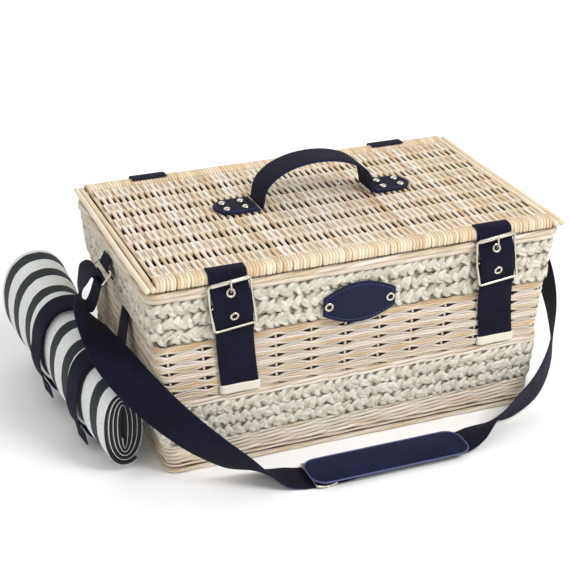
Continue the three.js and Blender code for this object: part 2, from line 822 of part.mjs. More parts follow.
function leftRun() {
  const stops = [
    ...sewnEnd(-1),
    [-258, -2, 174, 0.06, 1, -0.05],
    [-263, -14, 157, 0.35, 0.85, -0.4],
    [-259, -48, 140, 0.75, 0.4, -0.2],
    [-247, -97, 119, 0.88, -0.1, 0.35],
    [-223, -137, 93, 0.8, -0.3, 0.5],
    [-189, -161, 61, 0.65, -0.42, 0.63],
    [-153, -171, 32, 0.3, -0.62, 0.72],
    [-122, -174, 12, -0.2, -0.85, 0.45],
    [-98, -178.5, 3, -0.2, -0.97, 0.02],
    [SLIDER.x - SLIDER.pitch, SLIDER.y + 0.4, 1.3, -0.06, -1, 0],
    [SLIDER.x, SLIDER.y, 4.9, 0, -1, 0],
    [SLIDER.x + SLIDER.pitch, SLIDER.y, 1.3, 0, -1, 0],
    [SLIDER.x + 28, SLIDER.y, 1.6, 0, -1, 0],
    [SLIDER.x + 46, SLIDER.y, PAD.lowZ - 1.2, 0, -1, 0],
    [SLIDER.x + 64, SLIDER.y, PAD.lowZ - 1.1, 0, -1, 0],
  ];
  return strip(stops, WEBBING_WIDTH, WEBBING_THICKNESS, 140);
}

function rightRun() {
  const stops = [
    [62, SLIDER.y, PAD.lowZ - 1.1, 0, -1, 0],
    [80, SLIDER.y, PAD.lowZ - 1.2, 0, -1, 0],
    [98, -182, 4.6, 0, -1, 0.02],
    [116, -178, 8.4, -0.05, -0.97, 0.15],
    [140, -173, 17, -0.15, -0.75, 0.58],
    [172, -165, 24, -0.25, -0.45, 0.85],
    [208, -148, 36, -0.35, -0.35, 0.87],
    [240, -118, 57, -0.33, -0.42, 0.84],
    [261, -80, 86, -0.15, -0.6, 0.75],
    [268, -44, 118, 0, -0.8, 0.55],
    [264, -13, 150, 0, -0.95, 0.3],
    [258, -1, 171, 0, -1, 0.03],
    ...sewnEnd(1).reverse(),
  ];
  return strip(stops, WEBBING_WIDTH, WEBBING_THICKNESS, 128);
}

// Slider: three bars and two ends. The strap goes under, over and under the bars.
function slider() {
  const half = WEBBING_WIDTH / 2 + SLIDER.barRadius + 1.1;
  const bar = (offset, z) =>
    [-half, half].map((reach) => new THREE.Vector3(SLIDER.x + offset, SLIDER.y + reach, z));
  const first = bar(-SLIDER.pitch, SLIDER.sideBarZ);
  const middle = bar(0, SLIDER.centreBarZ);
  const last = bar(SLIDER.pitch, SLIDER.sideBarZ);
  const corners = [first[0], first[1], middle[1], last[1], last[0], middle[0]];
  const outline = wireLoop(corners, SLIDER.barRadius, SLIDER.bend, new THREE.Vector3(0, 0, 1));
  return join([outline, rod(middle[0], middle[1], SLIDER.barRadius)]);
}

function pad() {
  const { x, y, lowZ, length, width, thickness } = PAD;
  const bevel = 2.4;
  const halfLength = length / 2 - bevel;
  const halfWidth = width / 2 - bevel;
  const radius = 16;
  const shape = new THREE.Shape(
    roundedRectangle(halfLength, halfWidth, radius, 0).map((point) => new THREE.Vector2(point.x, point.y)),
  );
  const cushion = new THREE.ExtrudeGeometry(shape, {
    depth: thickness - 2 * bevel,
    bevelSize: bevel,
    bevelThickness: bevel,
    bevelSegments: 3,
  });
  return cushion.translate(x, y, bevel + lowZ);
}

addNode("shoulder_strap_left", leftRun(), "webbing");
addNode("shoulder_strap_right", rightRun(), "webbing");
addNode("shoulder_pad", pad(), "pad");
addNode("strap_slider", slider(), "metal");
for (const [sideName, side] of [["left", -1], ["right", 1]]) {
  addNode(`ring_tab_${sideName}`, ringTab(side), "webbing");
  addNode(`strap_ring_${sideName}`, ring(side), "metal");
}

basket.position.set(-OUTLINE_CENTRE.x, -OUTLINE_CENTRE.y, 0);

export default basket;
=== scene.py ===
"""Wicker picnic basket: woven willow and seagrass, navy webbing, plated fittings and a rolled blanket.

Lengths are in metres. Woven pieces are worked out about the basket's own centre and moved to it when
their mesh is made. +Z is up and the front faces -Y.
"""

import math

import bpy
import numpy as np
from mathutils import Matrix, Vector


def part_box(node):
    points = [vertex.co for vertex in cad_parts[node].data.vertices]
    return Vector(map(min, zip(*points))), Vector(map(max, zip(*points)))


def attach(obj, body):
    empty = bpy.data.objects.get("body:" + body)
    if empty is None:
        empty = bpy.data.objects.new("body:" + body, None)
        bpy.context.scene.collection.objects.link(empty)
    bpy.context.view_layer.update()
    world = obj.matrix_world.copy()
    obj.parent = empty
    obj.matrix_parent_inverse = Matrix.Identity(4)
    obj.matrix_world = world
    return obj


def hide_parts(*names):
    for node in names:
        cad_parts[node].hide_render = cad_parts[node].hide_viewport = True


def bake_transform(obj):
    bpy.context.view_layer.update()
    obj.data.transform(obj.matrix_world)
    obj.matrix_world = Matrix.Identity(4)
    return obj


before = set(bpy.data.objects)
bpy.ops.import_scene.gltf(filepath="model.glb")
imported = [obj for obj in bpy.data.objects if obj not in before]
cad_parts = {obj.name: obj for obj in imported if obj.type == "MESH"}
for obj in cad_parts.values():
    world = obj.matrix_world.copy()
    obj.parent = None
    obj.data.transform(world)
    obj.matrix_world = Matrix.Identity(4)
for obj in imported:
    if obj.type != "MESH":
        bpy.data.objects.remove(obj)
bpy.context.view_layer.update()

MM = 0.001
rng = np.random.default_rng(11)


def box_of(node):
    low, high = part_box(node)
    return np.array(low), np.array(high)


def middle(node):
    low, high = box_of(node)
    return (low + high) / 2


# ---- driving dimensions ----
CENTRE = middle("foot_border") * [1, 1, 0]
WALL_FOOT_HALF = np.array([209, 125]) * MM
WALL_TOP_HALF = np.array([226, 133.5]) * MM
WALL_TOP_Z = 210 * MM
CORNER_RADIUS = 13 * MM
STAKES = 36
WEBBING_WIDTH = 40 * MM
WEBBING_THICKNESS = 1.5 * MM
GAP = 0.3 * MM
LATCH_X = middle("hinge_strap_right")[0] - CENTRE[0]
LATCH_LEAN = math.radians(6.5)
LEAN_PIVOT_Z = 220 * MM
LEAN_START_Z = 226.5 * MM

X_AXIS = np.array([1.0, 0, 0])
Y_AXIS = np.array([0, 1.0, 0])
Z_AXIS = np.array([0, 0, 1.0])
SIDES = (("left", -1), ("right", 1))


# ---- camera ----
VIEW_AZIMUTH = math.radians(-21.35)
VIEW_ELEVATION = math.radians(25.73)
VIEW_DISTANCE = 1.656
VIEW_TARGET = CENTRE + np.array([-24.4, 19.5, 120]) * MM
LENS_MM = 93.8
SENSOR_MM = 36


def add_camera():
    data = bpy.data.cameras.new("camera")
    data.lens = LENS_MM
    data.sensor_width = SENSOR_MM
    camera = bpy.data.objects.new("camera", data)
    level = math.cos(VIEW_ELEVATION)
    away = np.array([
        math.sin(VIEW_AZIMUTH) * level,
        -math.cos(VIEW_AZIMUTH) * level,
        math.sin(VIEW_ELEVATION),
    ])
    camera.location = VIEW_TARGET + away * VIEW_DISTANCE
    camera.rotation_euler = Vector(-away).to_track_quat("-Z", "Y").to_euler()
    bpy.context.collection.objects.link(camera)
    bpy.context.scene.camera = camera


add_camera()


# ---- materials ----
class Nodes:
    """Short ways to add shader nodes to one material."""

    def __init__(self, name):
        self.material = bpy.data.materials.new(name)
        self.material.use_nodes = True
        self.tree = self.material.node_tree
        self.shader = self.tree.nodes["Principled BSDF"]

    def add(self, kind, inputs=None, **settings):
        node = self.tree.nodes.new(kind)
        for key, value in settings.items():
            setattr(node, key, value)
        for key, value in (inputs or {}).items():
            self.feed(node.inputs[key], value)
        return node

    def feed(self, socket, value):
        if isinstance(value, bpy.types.NodeSocket):
            self.tree.links.new(value, socket)
        else:
            socket.default_value = value

    def math(self, operation, a, b=0.0, clamp=False):
        node = self.add("ShaderNodeMath", {0: a, 1: b}, operation=operation, use_clamp=clamp)
        return node.outputs[0]

    def attribute(self, name):
        return self.add("ShaderNodeAttribute", attribute_name=name).outputs["Fac"]

    def uv(self, scale_u, scale_v):
        """The surface's own coordinates in metres, stretched. U runs round or across, V along."""
        coordinates = self.add("ShaderNodeUVMap", uv_map="surface").outputs[0]
        mapping = self.add("ShaderNodeMapping", {"Vector": coordinates, "Scale": (scale_u, scale_v, 1)})
        return mapping.outputs[0]

    def object_space(self):
        return self.add("ShaderNodeTexCoord").outputs["Object"]

    def noise(self, vector, scale, detail=3.0, roughness=0.55):
        inputs = {"Vector": vector, "Scale": scale, "Detail": detail, "Roughness": roughness}
        return self.add("ShaderNodeTexNoise", inputs).outputs["Fac"]

    def ramp(self, factor, stops):
        node = self.add("ShaderNodeValToRGB", {"Fac": factor})
        elements = node.color_ramp.elements
        while len(elements) < len(stops):
            elements.new(0.5)
        for element, (position, colour) in zip(elements, stops):
            element.position = position
            element.color = (*colour, 1)
        return node.outputs["Color"]

    def mix(self, factor, a, b, blend="MIX"):
        node = self.add("ShaderNodeMix", data_type="RGBA", blend_type=blend)
        self.feed(node.inputs["Factor"], factor)
        self.feed(node.inputs["A"], a if isinstance(a, bpy.types.NodeSocket) else (*a, 1))
        self.feed(node.inputs["B"], b if isinstance(b, bpy.types.NodeSocket) else (*b, 1))
        return node.outputs["Result"]

    def bump(self, height, strength, distance):
        inputs = {"Height": height, "Strength": strength, "Distance": distance}
        self.feed(self.shader.inputs["Normal"], self.add("ShaderNodeBump", inputs).outputs["Normal"])

    def set(self, **inputs):
        for name, value in inputs.items():
            socket = self.shader.inputs[name.replace("_", " ")]
            self.feed(socket, (*value, 1) if isinstance(value, tuple) else value)
        return self.material


def srgb(code):
    """A linear colour from a hexadecimal screen colour."""
    channels = [int(code[i:i + 2], 16) / 255 for i in (0, 2, 4)]
    return tuple(c / 12.92 if c <= 0.04045 else ((c + 0.055) / 1.055) ** 2.4 for c in channels)


def willow_material(name, pale, mid, deep):
    """Peeled willow: each rod has its own tone, with fine streaks along it, and painted shade darkens its
    crevices.
    """
    n = Nodes(name)
    streaks = n.noise(n.uv(900, 60), 1.0, 4.0, 0.6)
    blotches = n.noise(n.uv(60, 24), 1.0, 2.0)
    tone = n.math("ADD", n.attribute("tone"), n.math("MULTIPLY", n.math("SUBTRACT", blotches, 0.5), 0.9))
    tone = n.math("ADD", tone, n.math("MULTIPLY", n.math("SUBTRACT", streaks, 0.5), 0.5), True)
    colour = n.ramp(tone, [(0.05, pale), (0.5, mid), (0.85, deep), (1.0, srgb("C0A076"))])
    blush = n.noise(n.uv(35, 22), 1.0, 1.0)
    colour = n.mix(n.math("MULTIPLY", n.math("GREATER_THAN", blush, 0.55), 0.35), colour, srgb("E3CBBB"))
    specks = n.math("GREATER_THAN", n.noise(n.uv(420, 130), 1.0, 2.0, 0.5), 0.71)
    colour = n.mix(n.math("MULTIPLY", specks, 0.35), colour, srgb("8A6440"))
    # Painted shade: the 'shade' attribute darkens the rod towards brown where it lies in a crevice or under
    # its neighbours.
    colour = n.mix(n.attribute("shade"), colour, srgb("40301F"), "MULTIPLY")
    n.bump(streaks, 0.35, 0.4 * MM)
    roughness = n.math("ADD", n.math("MULTIPLY", streaks, 0.25), 0.45)
    return n.set(Base_Color=colour, Roughness=roughness)


def seagrass_material():
    """Whitewashed seagrass: fibres along each strand, green and tan showing through."""
    n = Nodes("seagrass")
    fibres = n.noise(n.uv(700, 45), 1.0, 5.0, 0.65)
    patches = n.noise(n.object_space(), 55.0, 3.0)
    tone = n.math("ADD", n.math("MULTIPLY", n.attribute("tone"), 0.45), n.math("MULTIPLY", patches, 0.5))
    tone = n.math("ADD", tone, n.math("MULTIPLY", n.math("SUBTRACT", fibres, 0.5), 1.1), True)
    colour = n.ramp(tone, [
        (0.0, srgb("7A7358")),
        (0.2, srgb("B3AC97")),
        (0.45, srgb("CDC7B8")),
        (0.75, srgb("E0DBD1")),
        (1.0, srgb("CCBE9E")),
    ])
    # Painted shade: the 'shade' attribute darkens the strands towards dark olive where they dip into the
    # plait.
    colour = n.mix(n.attribute("shade"), colour, srgb("4A4630"), "MULTIPLY")
    n.bump(fibres, 0.7, 0.9 * MM)
    return n.set(Base_Color=colour, Roughness=0.85)


def webbing_material(name, dark, light):
    """Polyester webbing: ribs across the strap and a fine twill, with paler rubbed edges."""
    n = Nodes(name)
    coordinates = n.add("ShaderNodeSeparateXYZ", {0: n.uv(1, 1)})
    across, along = coordinates.outputs[0], coordinates.outputs[1]
    warp = n.math("SINE", n.math("MULTIPLY", across, 2 * math.pi / (1.1 * MM)))
    weft = n.math("SINE", n.math("MULTIPLY", along, 2 * math.pi / (1.5 * MM)))
    weave = n.math("MULTIPLY", warp, weft)
    cloudy = n.noise(n.object_space(), 38.0, 3.0)
    fade = n.math("ADD", n.math("MULTIPLY", weave, 0.18), cloudy, True)
    colour = n.ramp(fade, [(0.25, dark), (0.8, light)])
    rubbed = n.math("MULTIPLY", n.attribute("edge"), n.noise(n.object_space(), 300.0, 2.0), True)
    colour = n.mix(n.math("MULTIPLY", rubbed, 0.5), colour, srgb("343A60"))
    n.bump(weave, 0.5, 0.3 * MM)
    n.set(Sheen_Weight=0.03, Sheen_Roughness=0.5, Specular_IOR_Level=0.12)
    return n.set(Base_Color=colour, Roughness=0.8)


def metal_material(name, colour, rough):
    """Plated metal with faint scratches and a slightly uneven polish."""
    n = Nodes(name)
    scratches = n.noise(n.object_space(), 900.0, 2.0)
    smudges = n.noise(n.object_space(), 120.0, 2.0)
    n.bump(scratches, 0.08, 0.1 * MM)
    roughness = n.math("ADD", n.math("MULTIPLY", smudges, 0.2), rough)
    tint = n.mix(smudges, colour, tuple(c * 0.8 for c in colour))
    return n.set(Base_Color=tint, Metallic=1.0, Roughness=roughness)


def badge_material():
    """Navy patch with a fine pebbled grain."""
    n = Nodes("badge_patch")
    grain = n.add("ShaderNodeTexVoronoi", {"Vector": n.object_space(), "Scale": 900.0}).outputs["Distance"]
    cloudy = n.noise(n.object_space(), 60.0)
    n.bump(grain, 0.35, 0.2 * MM)
    colour = n.mix(cloudy, srgb("0F142E"), srgb("181D3A"))
    return n.set(Base_Color=colour, Roughness=0.6, Specular_IOR_Level=0.2)


# dark stripes of the blanket, along the roll from its front end: spacing, width and the start of the first
STRIPE_PITCH = 36 * MM
STRIPE_WIDTH = 15.5 * MM
FIRST_STRIPE = 17 * MM


def blanket_material():
    """Off-white fleece with dark stripes, and a dark waterproof backing."""
    n = Nodes("fleece")
    along = n.add("ShaderNodeSeparateXYZ", {0: n.uv(1, 1)}).outputs[1]
    wander = n.math("MULTIPLY", n.math("SUBTRACT", n.noise(n.object_space(), 90.0, 2.0), 0.5), 2.5 * MM)
    wander = n.math("ADD", wander, STRIPE_PITCH - FIRST_STRIPE)
    place = n.math("FRACT", n.math("DIVIDE", n.math("ADD", along, wander), STRIPE_PITCH))
    dark = n.math("LESS_THAN", place, STRIPE_WIDTH / STRIPE_PITCH)
    pile = n.noise(n.object_space(), 1400.0, 3.0, 0.7)
    tufts = n.noise(n.object_space(), 260.0, 3.0, 0.6)
    white = n.mix(tufts, srgb("C9CDCB"), srgb("F4F4F0"))
    charcoal = n.mix(tufts, srgb("0F1619"), srgb("222C2F"))
    colour = n.mix(dark, white, charcoal)
    colour = n.mix(n.math("GREATER_THAN", n.attribute("backing"), 0.14), colour, srgb("12171A"))
    height = n.math("ADD", n.math("MULTIPLY", pile, 0.5), tufts)
    n.bump(height, 0.8, 1.2 * MM)
    n.set(Sheen_Weight=0.15, Sheen_Roughness=0.6, Specular_IOR_Level=0.1)
    return n.set(Base_Color=colour, Roughness=0.95)


def thread_material():
    n = Nodes("thread")
    twist = n.noise(n.uv(300, 900), 1.0, 1.0)
    n.bump(twist, 0.4, 0.1 * MM)
    return n.set(Base_Color=n.mix(twist, srgb("3A4168"), srgb("555D88")), Roughness=0.7)


def eyelet_shade_material():
    """Near-black painted shade for the discs behind the open eyelets, in place of the dark hollow of each
    hole.
    """
    n = Nodes("eyelet_painted_shade")
    grain = n.noise(n.object_space(), 900.0)
    return n.set(Base_Color=n.mix(grain, srgb("07070B"), srgb("101018")), Roughness=0.9)


WILLOW = willow_material("willow", srgb("DED7CA"), srgb("CBC1AE"), srgb("C2AC88"))
WILLOW_LID = willow_material("willow_lid", srgb("EBE3D2"), srgb("E0D0B2"), srgb("D2B690"))
SEAGRASS = seagrass_material()
WEBBING = webbing_material("webbing", srgb("0B0B19"), srgb("15162C"))
PAD_CLOTH = webbing_material("pad_cloth", srgb("10132B"), srgb("1B2042"))
NICKEL = metal_material("nickel", srgb("DDD6C6"), 0.18)
PALE_PLATE = metal_material("pale_plate", srgb("E8E2D4"), 0.2)
BADGE = badge_material()
FLEECE = blanket_material()
THREAD = thread_material()
EYELET_SHADE_PAINT = eyelet_shade_material()


# ---- meshes ----
def reach_along(path):
    """The distance along a path at each of its points."""
    return np.concatenate([[0], np.cumsum(np.linalg.norm(np.diff(path, axis=0), axis=1))])


def add_mesh(name, points, faces, material, attributes=None, uv=None):
    """A smooth-shaded object. uv is one (u, v) in metres for each corner of each face."""
    points = np.asarray(points, float)
    mesh = bpy.data.meshes.new(name)
    mesh.from_pydata((points + CENTRE).tolist(), [], faces)
    for key, values in (attributes or {}).items():
        layer = mesh.attributes.new(key, "FLOAT", "POINT")
        layer.data.foreach_set("value", np.asarray(values, np.float32))
    if uv is not None:
        layer = mesh.uv_layers.new(name="surface")
        layer.data.foreach_set("uv", np.asarray(uv, np.float32).ravel())
    mesh.shade_smooth()
    mesh.materials.append(material)
    piece = bpy.data.objects.new(name, mesh)
    bpy.context.collection.objects.link(piece)
    return piece


def place(piece, body, *nodes):
    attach(piece, body)
    if nodes:
        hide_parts(*nodes)
    return piece


def hang_aslant(piece, x):
    """Turns a finished latch piece about the middle of its strap. The turn fades out over the lid's edge."""
    points = np.array([vertex.co for vertex in piece.data.vertices])
    across = points[:, 0] - CENTRE[0] - x
    height = points[:, 2] - LEAN_PIVOT_Z
    angle = LATCH_LEAN * np.clip((LEAN_START_Z - points[:, 2]) / (LEAN_START_Z - LEAN_PIVOT_Z), 0, 1)
    points[:, 0] = CENTRE[0] + x + across * np.cos(angle) - height * np.sin(angle)
    points[:, 2] = LEAN_PIVOT_Z + across * np.sin(angle) + height * np.cos(angle)
    piece.data.vertices.foreach_set("co", points.ravel())
    return piece


def aslant_shift(z):
    """How far a latch's middle has moved sideways at a height."""
    return (LEAN_PIVOT_Z - z) * math.tan(LATCH_LEAN)


def unit(vectors):
    return vectors / np.maximum(np.linalg.norm(vectors, axis=-1, keepdims=True), 1e-12)


def tangents(path, closed):
    if closed:
        return unit(np.roll(path, -1, 0) - np.roll(path, 1, 0))
    return unit(np.gradient(path, axis=0))


def tubes(name, rods, material, sides=6, closed=False, reference=Z_AXIS):
    """One mesh of many round rods. A rod is {path, radius, tone, shade}; radius and shade may vary along it.
    shade, from 0 to 1, is painted shade that darkens the rod.
    flat squeezes a rod along the reference direction."""
    points, faces, uv, tones, shades = [], [], [], [], []
    first = 0
    angles = np.arange(sides) * 2 * math.pi / sides
    for rod in rods:
        path = rod["path"]
        count = len(path)
        radius = np.broadcast_to(rod["radius"], count)[:, None, None]
        along = tangents(path, closed)
        side = unit(np.cross(along, reference))
        up = np.cross(side, along)
        ring = side[:, None] * np.cos(angles)[None, :, None]
        ring = ring + up[:, None] * np.sin(angles)[None, :, None] * rod.get("flat", 1.0)
        points.append((path[:, None] + ring * radius).reshape(-1, 3))
        tones.append(np.full(count * sides, rod["tone"]))
        shades.append(np.repeat(np.broadcast_to(rod.get("shade", 0.0), count), sides))
        steps = np.arange(count if closed else count - 1)
        here = first + steps[:, None] * sides + np.arange(sides)
        there = first + ((steps + 1) % count)[:, None] * sides + np.arange(sides)
        quads = np.stack([here, np.roll(here, -1, 1), np.roll(there, -1, 1), there], -1)
        faces += quads.reshape(-1, 4).tolist()
        length = reach_along(path)
        if closed:
            length = np.append(length, length[-1] + np.linalg.norm(path[0] - path[-1]))
        offset = rod["tone"] * 7
        girth = 2 * math.pi * float(np.mean(radius)) / sides
        low_u = np.broadcast_to(np.arange(sides) * girth, (len(steps), sides))
        low_v = np.broadcast_to(length[steps][:, None] + offset, (len(steps), sides))
        high_v = np.broadcast_to(length[steps + 1][:, None] + offset, (len(steps), sides))
        corners = [(low_u, low_v), (low_u + girth, low_v), (low_u + girth, high_v), (low_u, high_v)]
        uv.append(np.stack([np.stack(corner, -1) for corner in corners], 2).reshape(-1, 2))
        if not closed:
            last = first + (count - 1) * sides
            faces.append(list(range(first + sides - 1, first - 1, -1)))
            faces.append(list(range(last, last + sides)))
            uv.append(np.zeros((2 * sides, 2)) + offset)
        first += count * sides
    attributes = {"tone": np.concatenate(tones), "shade": np.concatenate(shades)}
    return add_mesh(name, np.concatenate(points), faces, material, attributes, np.concatenate(uv))


def spline(stops, samples):
    """Points on the centripetal Catmull-Rom curve through the stops, evenly shared between them."""
    stops = np.asarray(stops, float)
    padded = np.vstack([2 * stops[0] - stops[1], stops, 2 * stops[-1] - stops[-2]])
    share = np.linspace(0, len(stops) - 1, samples + 1)
    index = np.minimum(share.astype(int), len(stops) - 2)
    weight = (share - index)[:, None]
    p = [padded[index + k] for k in range(4)]
    gaps = [np.maximum(np.linalg.norm(p[k + 1] - p[k], axis=1, keepdims=True), 1e-9) ** 0.5 for k in range(3)]
    start = (p[1] - p[0]) / gaps[0] - (p[2] - p[0]) / (gaps[0] + gaps[1]) + (p[2] - p[1]) / gaps[1]
    finish = (p[2] - p[1]) / gaps[1] - (p[3] - p[1]) / (gaps[1] + gaps[2]) + (p[3] - p[2]) / gaps[2]
    start, finish = start * gaps[1], finish * gaps[1]
    cubic = 2 * p[1] - 2 * p[2] + start + finish
    square = -3 * p[1] + 3 * p[2] - 2 * start - finish
    return cubic * weight ** 3 + square * weight ** 2 + start * weight + p[1]


def ribbon(name, stops, width, thickness, samples, material=WEBBING):
    """A webbing strap with rounded edges. A stop is [x, y, z, width direction x, y, z]."""
    stops = np.asarray(stops, float)
    path = spline(stops[:, :3], samples)
    along = tangents(path, False)
    across = spline(unit(stops[:, 3:]), samples)
    across = unit(across - along * np.sum(across * along, axis=1, keepdims=True))
    out = np.cross(along, across)
    half, round_off = width / 2, thickness / 2
    columns = np.linspace(-half + round_off, half - round_off, 7)
    edge_angles = np.radians([45, 0, -45])
    section = [(u, round_off, 0) for u in columns]
    section += [(half - round_off + round_off * math.cos(a), round_off * math.sin(a), 1) for a in edge_angles]
    section += [(u, -round_off, 0) for u in columns[::-1]]
    section += [
        (-half + round_off - round_off * math.cos(a), -round_off * math.sin(a), 1) for a in edge_angles
    ]
    section = np.array(section)
    sides = len(section)
    points = path[:, None] + across[:, None] * section[None, :, :1] + out[:, None] * section[None, :, 1:2]
    steps = np.arange(len(path) - 1)
    here = steps[:, None] * sides + np.arange(sides)
    quads = np.stack([here, here + sides, np.roll(here, -1, 1) + sides, np.roll(here, -1, 1)], -1)
    faces = quads.reshape(-1, 4).tolist()
    last = (len(path) - 1) * sides
    faces.append(list(range(sides)))
    faces.append(list(range(last + sides - 1, last - 1, -1)))
    length = reach_along(path)
    u = np.broadcast_to(section[:, 0], (len(path), sides)).ravel()
    v = np.repeat(length, sides)
    corners = np.concatenate([np.array(face) for face in faces])
    uv = np.stack([u[corners], v[corners]], -1)
    edge = np.tile(section[:, 2], len(path))
    return add_mesh(name, points.reshape(-1, 3), faces, material, {"edge": edge}, uv)


def lathe(name, profile, spot, axis, material, turns=28):
    """A turned piece: the profile is [radius, height] along the axis through the spot."""
    axis = unit(np.asarray(axis, float))
    side = unit(np.cross(axis, [0.31, 0.95, 0.11]))
    other = np.cross(axis, side)
    profile = np.asarray(profile, float)
    angles = np.arange(turns) * 2 * math.pi / turns
    ring = side[None] * np.cos(angles)[:, None] + other[None] * np.sin(angles)[:, None]
    points = spot + profile[:, None, :1] * ring[None] + profile[:, None, 1:] * axis
    count = len(profile)
    here = np.arange(count - 1)[:, None] * turns + np.arange(turns)
    quads = np.stack([here, np.roll(here, -1, 1), np.roll(here, -1, 1) + turns, here + turns], -1)
    faces = quads.reshape(-1, 4).tolist()
    return add_mesh(name, points.reshape(-1, 3), faces, material)


# ---- the wall's outline ----
def wall_half(z):
    share = np.asarray(z)[..., None] / WALL_TOP_Z
    return WALL_FOOT_HALF + (WALL_TOP_HALF - WALL_FOOT_HALF) * share


def wall_points(share, z, out):
    """Points round the wall. share runs from 0 to 1 round the basket, from the front wall's left end.
    out is the distance outside the wall's face."""
    share, z, out = np.broadcast_arrays(share, z, out)
    half = wall_half(z) + out[..., None]
    radius = CORNER_RADIUS + out
    nominal = wall_half(WALL_TOP_Z / 2)
    straights = 2 * (nominal - CORNER_RADIUS)
    arc = math.pi / 2 * CORNER_RADIUS
    lengths = np.array([straights[0], arc, straights[1], arc] * 2)
    ends = np.cumsum(lengths)
    reach = (share % 1) * ends[-1]
    part = np.minimum(np.searchsorted(ends, reach, side="right"), 7)
    local = (reach - (ends[part] - lengths[part])) / lengths[part]
    turn = part // 2 * (math.pi / 2)
    odd_wall = (part // 2) % 2 == 1
    half_along = np.where(odd_wall, half[..., 1], half[..., 0]) - radius
    half_out = np.where(odd_wall, half[..., 0], half[..., 1])
    on_arc = part % 2 == 1
    angle = np.where(on_arc, local * math.pi / 2, 0)
    forward = np.where(on_arc, half_along + radius * np.sin(angle), half_along * (2 * local - 1))
    outward = np.where(on_arc, half_out - radius + radius * np.cos(angle), half_out)
    x = forward * np.cos(turn) + outward * np.sin(turn)
    y = forward * np.sin(turn) - outward * np.cos(turn)
    return np.stack([x, y, z], -1)


def smooth_noise(share, waves):
    """A smooth closed wobble between about -1 and 1 round the basket."""
    total = np.zeros_like(share)
    for wave in (waves, waves * 2 + 1, waves * 3 + 2):
        phase, size = rng.uniform(0, 2 * math.pi), rng.uniform(0.4, 1.0)
        total += size * np.sin(2 * math.pi * wave * share + phase)
    return total / 2


# ---- woven wall ----
def twisted_rods(node, rows, strands, radius, turns, outset, swing, lift):
    """Rows of rods that twist round each other as they go round the wall: waling and borders."""
    low, high = box_of(node)[0][2], box_of(node)[1][2]
    share = np.arange(720) / 720
    rods = []
    for row in range(rows):
        centre = low + (high - low) * (row + 0.5) / rows
        for strand in range(strands):
            angle = 2 * math.pi * (turns * share + strand / strands + row * 0.37)
            z = centre + lift * np.sin(angle) + 0.3 * MM * smooth_noise(share, 9)
            out = outset - radius - swing + swing * np.cos(angle) + 0.25 * MM * smooth_noise(share, 11)
            thick = radius * (1 + 0.1 * smooth_noise(share, 5))
            # Painted shade: each strand darkens where it twists in behind the others.
            shade = np.clip(0.5 - 0.5 * np.cos(angle), 0, 1) ** 2 * 0.55
            rods.append({
                "path": wall_points(share, z, out),
                "radius": thick,
                "tone": rng.uniform(0.1, 0.75),
                "shade": shade,
            })
    piece = tubes(f"{node}_rods", rods, WILLOW, sides=8, closed=True)
    place(piece, "basket", node)


twisted_rods("bottom_wale", 5, 3, 1.9 * MM, 12, 1 * MM, 2.1 * MM, 1.3 * MM)
twisted_rods("waist_wale", 2, 3, 1.9 * MM, 12, 1.5 * MM, 2.0 * MM, 0.9 * MM)
twisted_rods("rim_border", 2, 4, 2.5 * MM, 9, 4.2 * MM, 2.6 * MM, 1.2 * MM)


def foot_border():
    """A thick twisted foot rod, with a thin pair of rods above it and small openings between them."""
    low, high = box_of("foot_border")[0][2], box_of("foot_border")[1][2]
    share = np.arange(720) / 720
    rods = []
    rod_rows = ((3, 2.0 * MM, low + 3.2 * MM, 9), (2, 1.1 * MM, high - 1.7 * MM, 14))
    for strands, radius, height, turns in rod_rows:
        for strand in range(strands):
            angle = 2 * math.pi * (turns * share + strand / strands)
            swing = radius * 0.55
            z = height + swing * np.sin(angle)
            out = 1.9 * MM - radius - swing + swing * np.cos(angle) + 0.2 * MM * smooth_noise(share, 11)
            # Painted shade: each strand darkens where it twists in behind the others.
            shade = np.clip(0.5 - 0.5 * np.cos(angle), 0, 1) ** 2 * 0.6
            rods.append({
                "path": wall_points(share, z, out),
                "radius": radius,
                "tone": rng.uniform(0.1, 0.75),
                "shade": shade,
            })
    piece = tubes("foot_border_rods", rods, WILLOW, sides=8, closed=True)
    place(piece, "basket", "foot_border")


foot_border()

RANDING_ROWS = 6
RANDING_ROD = 1.6 * MM
STAKE_RADIUS = 1.6 * MM
PINCH_SPACING = 1.3 * MM
BACK_ROD = 3.0 * MM
BACK_ROD_DEPTH = -6.8 * MM


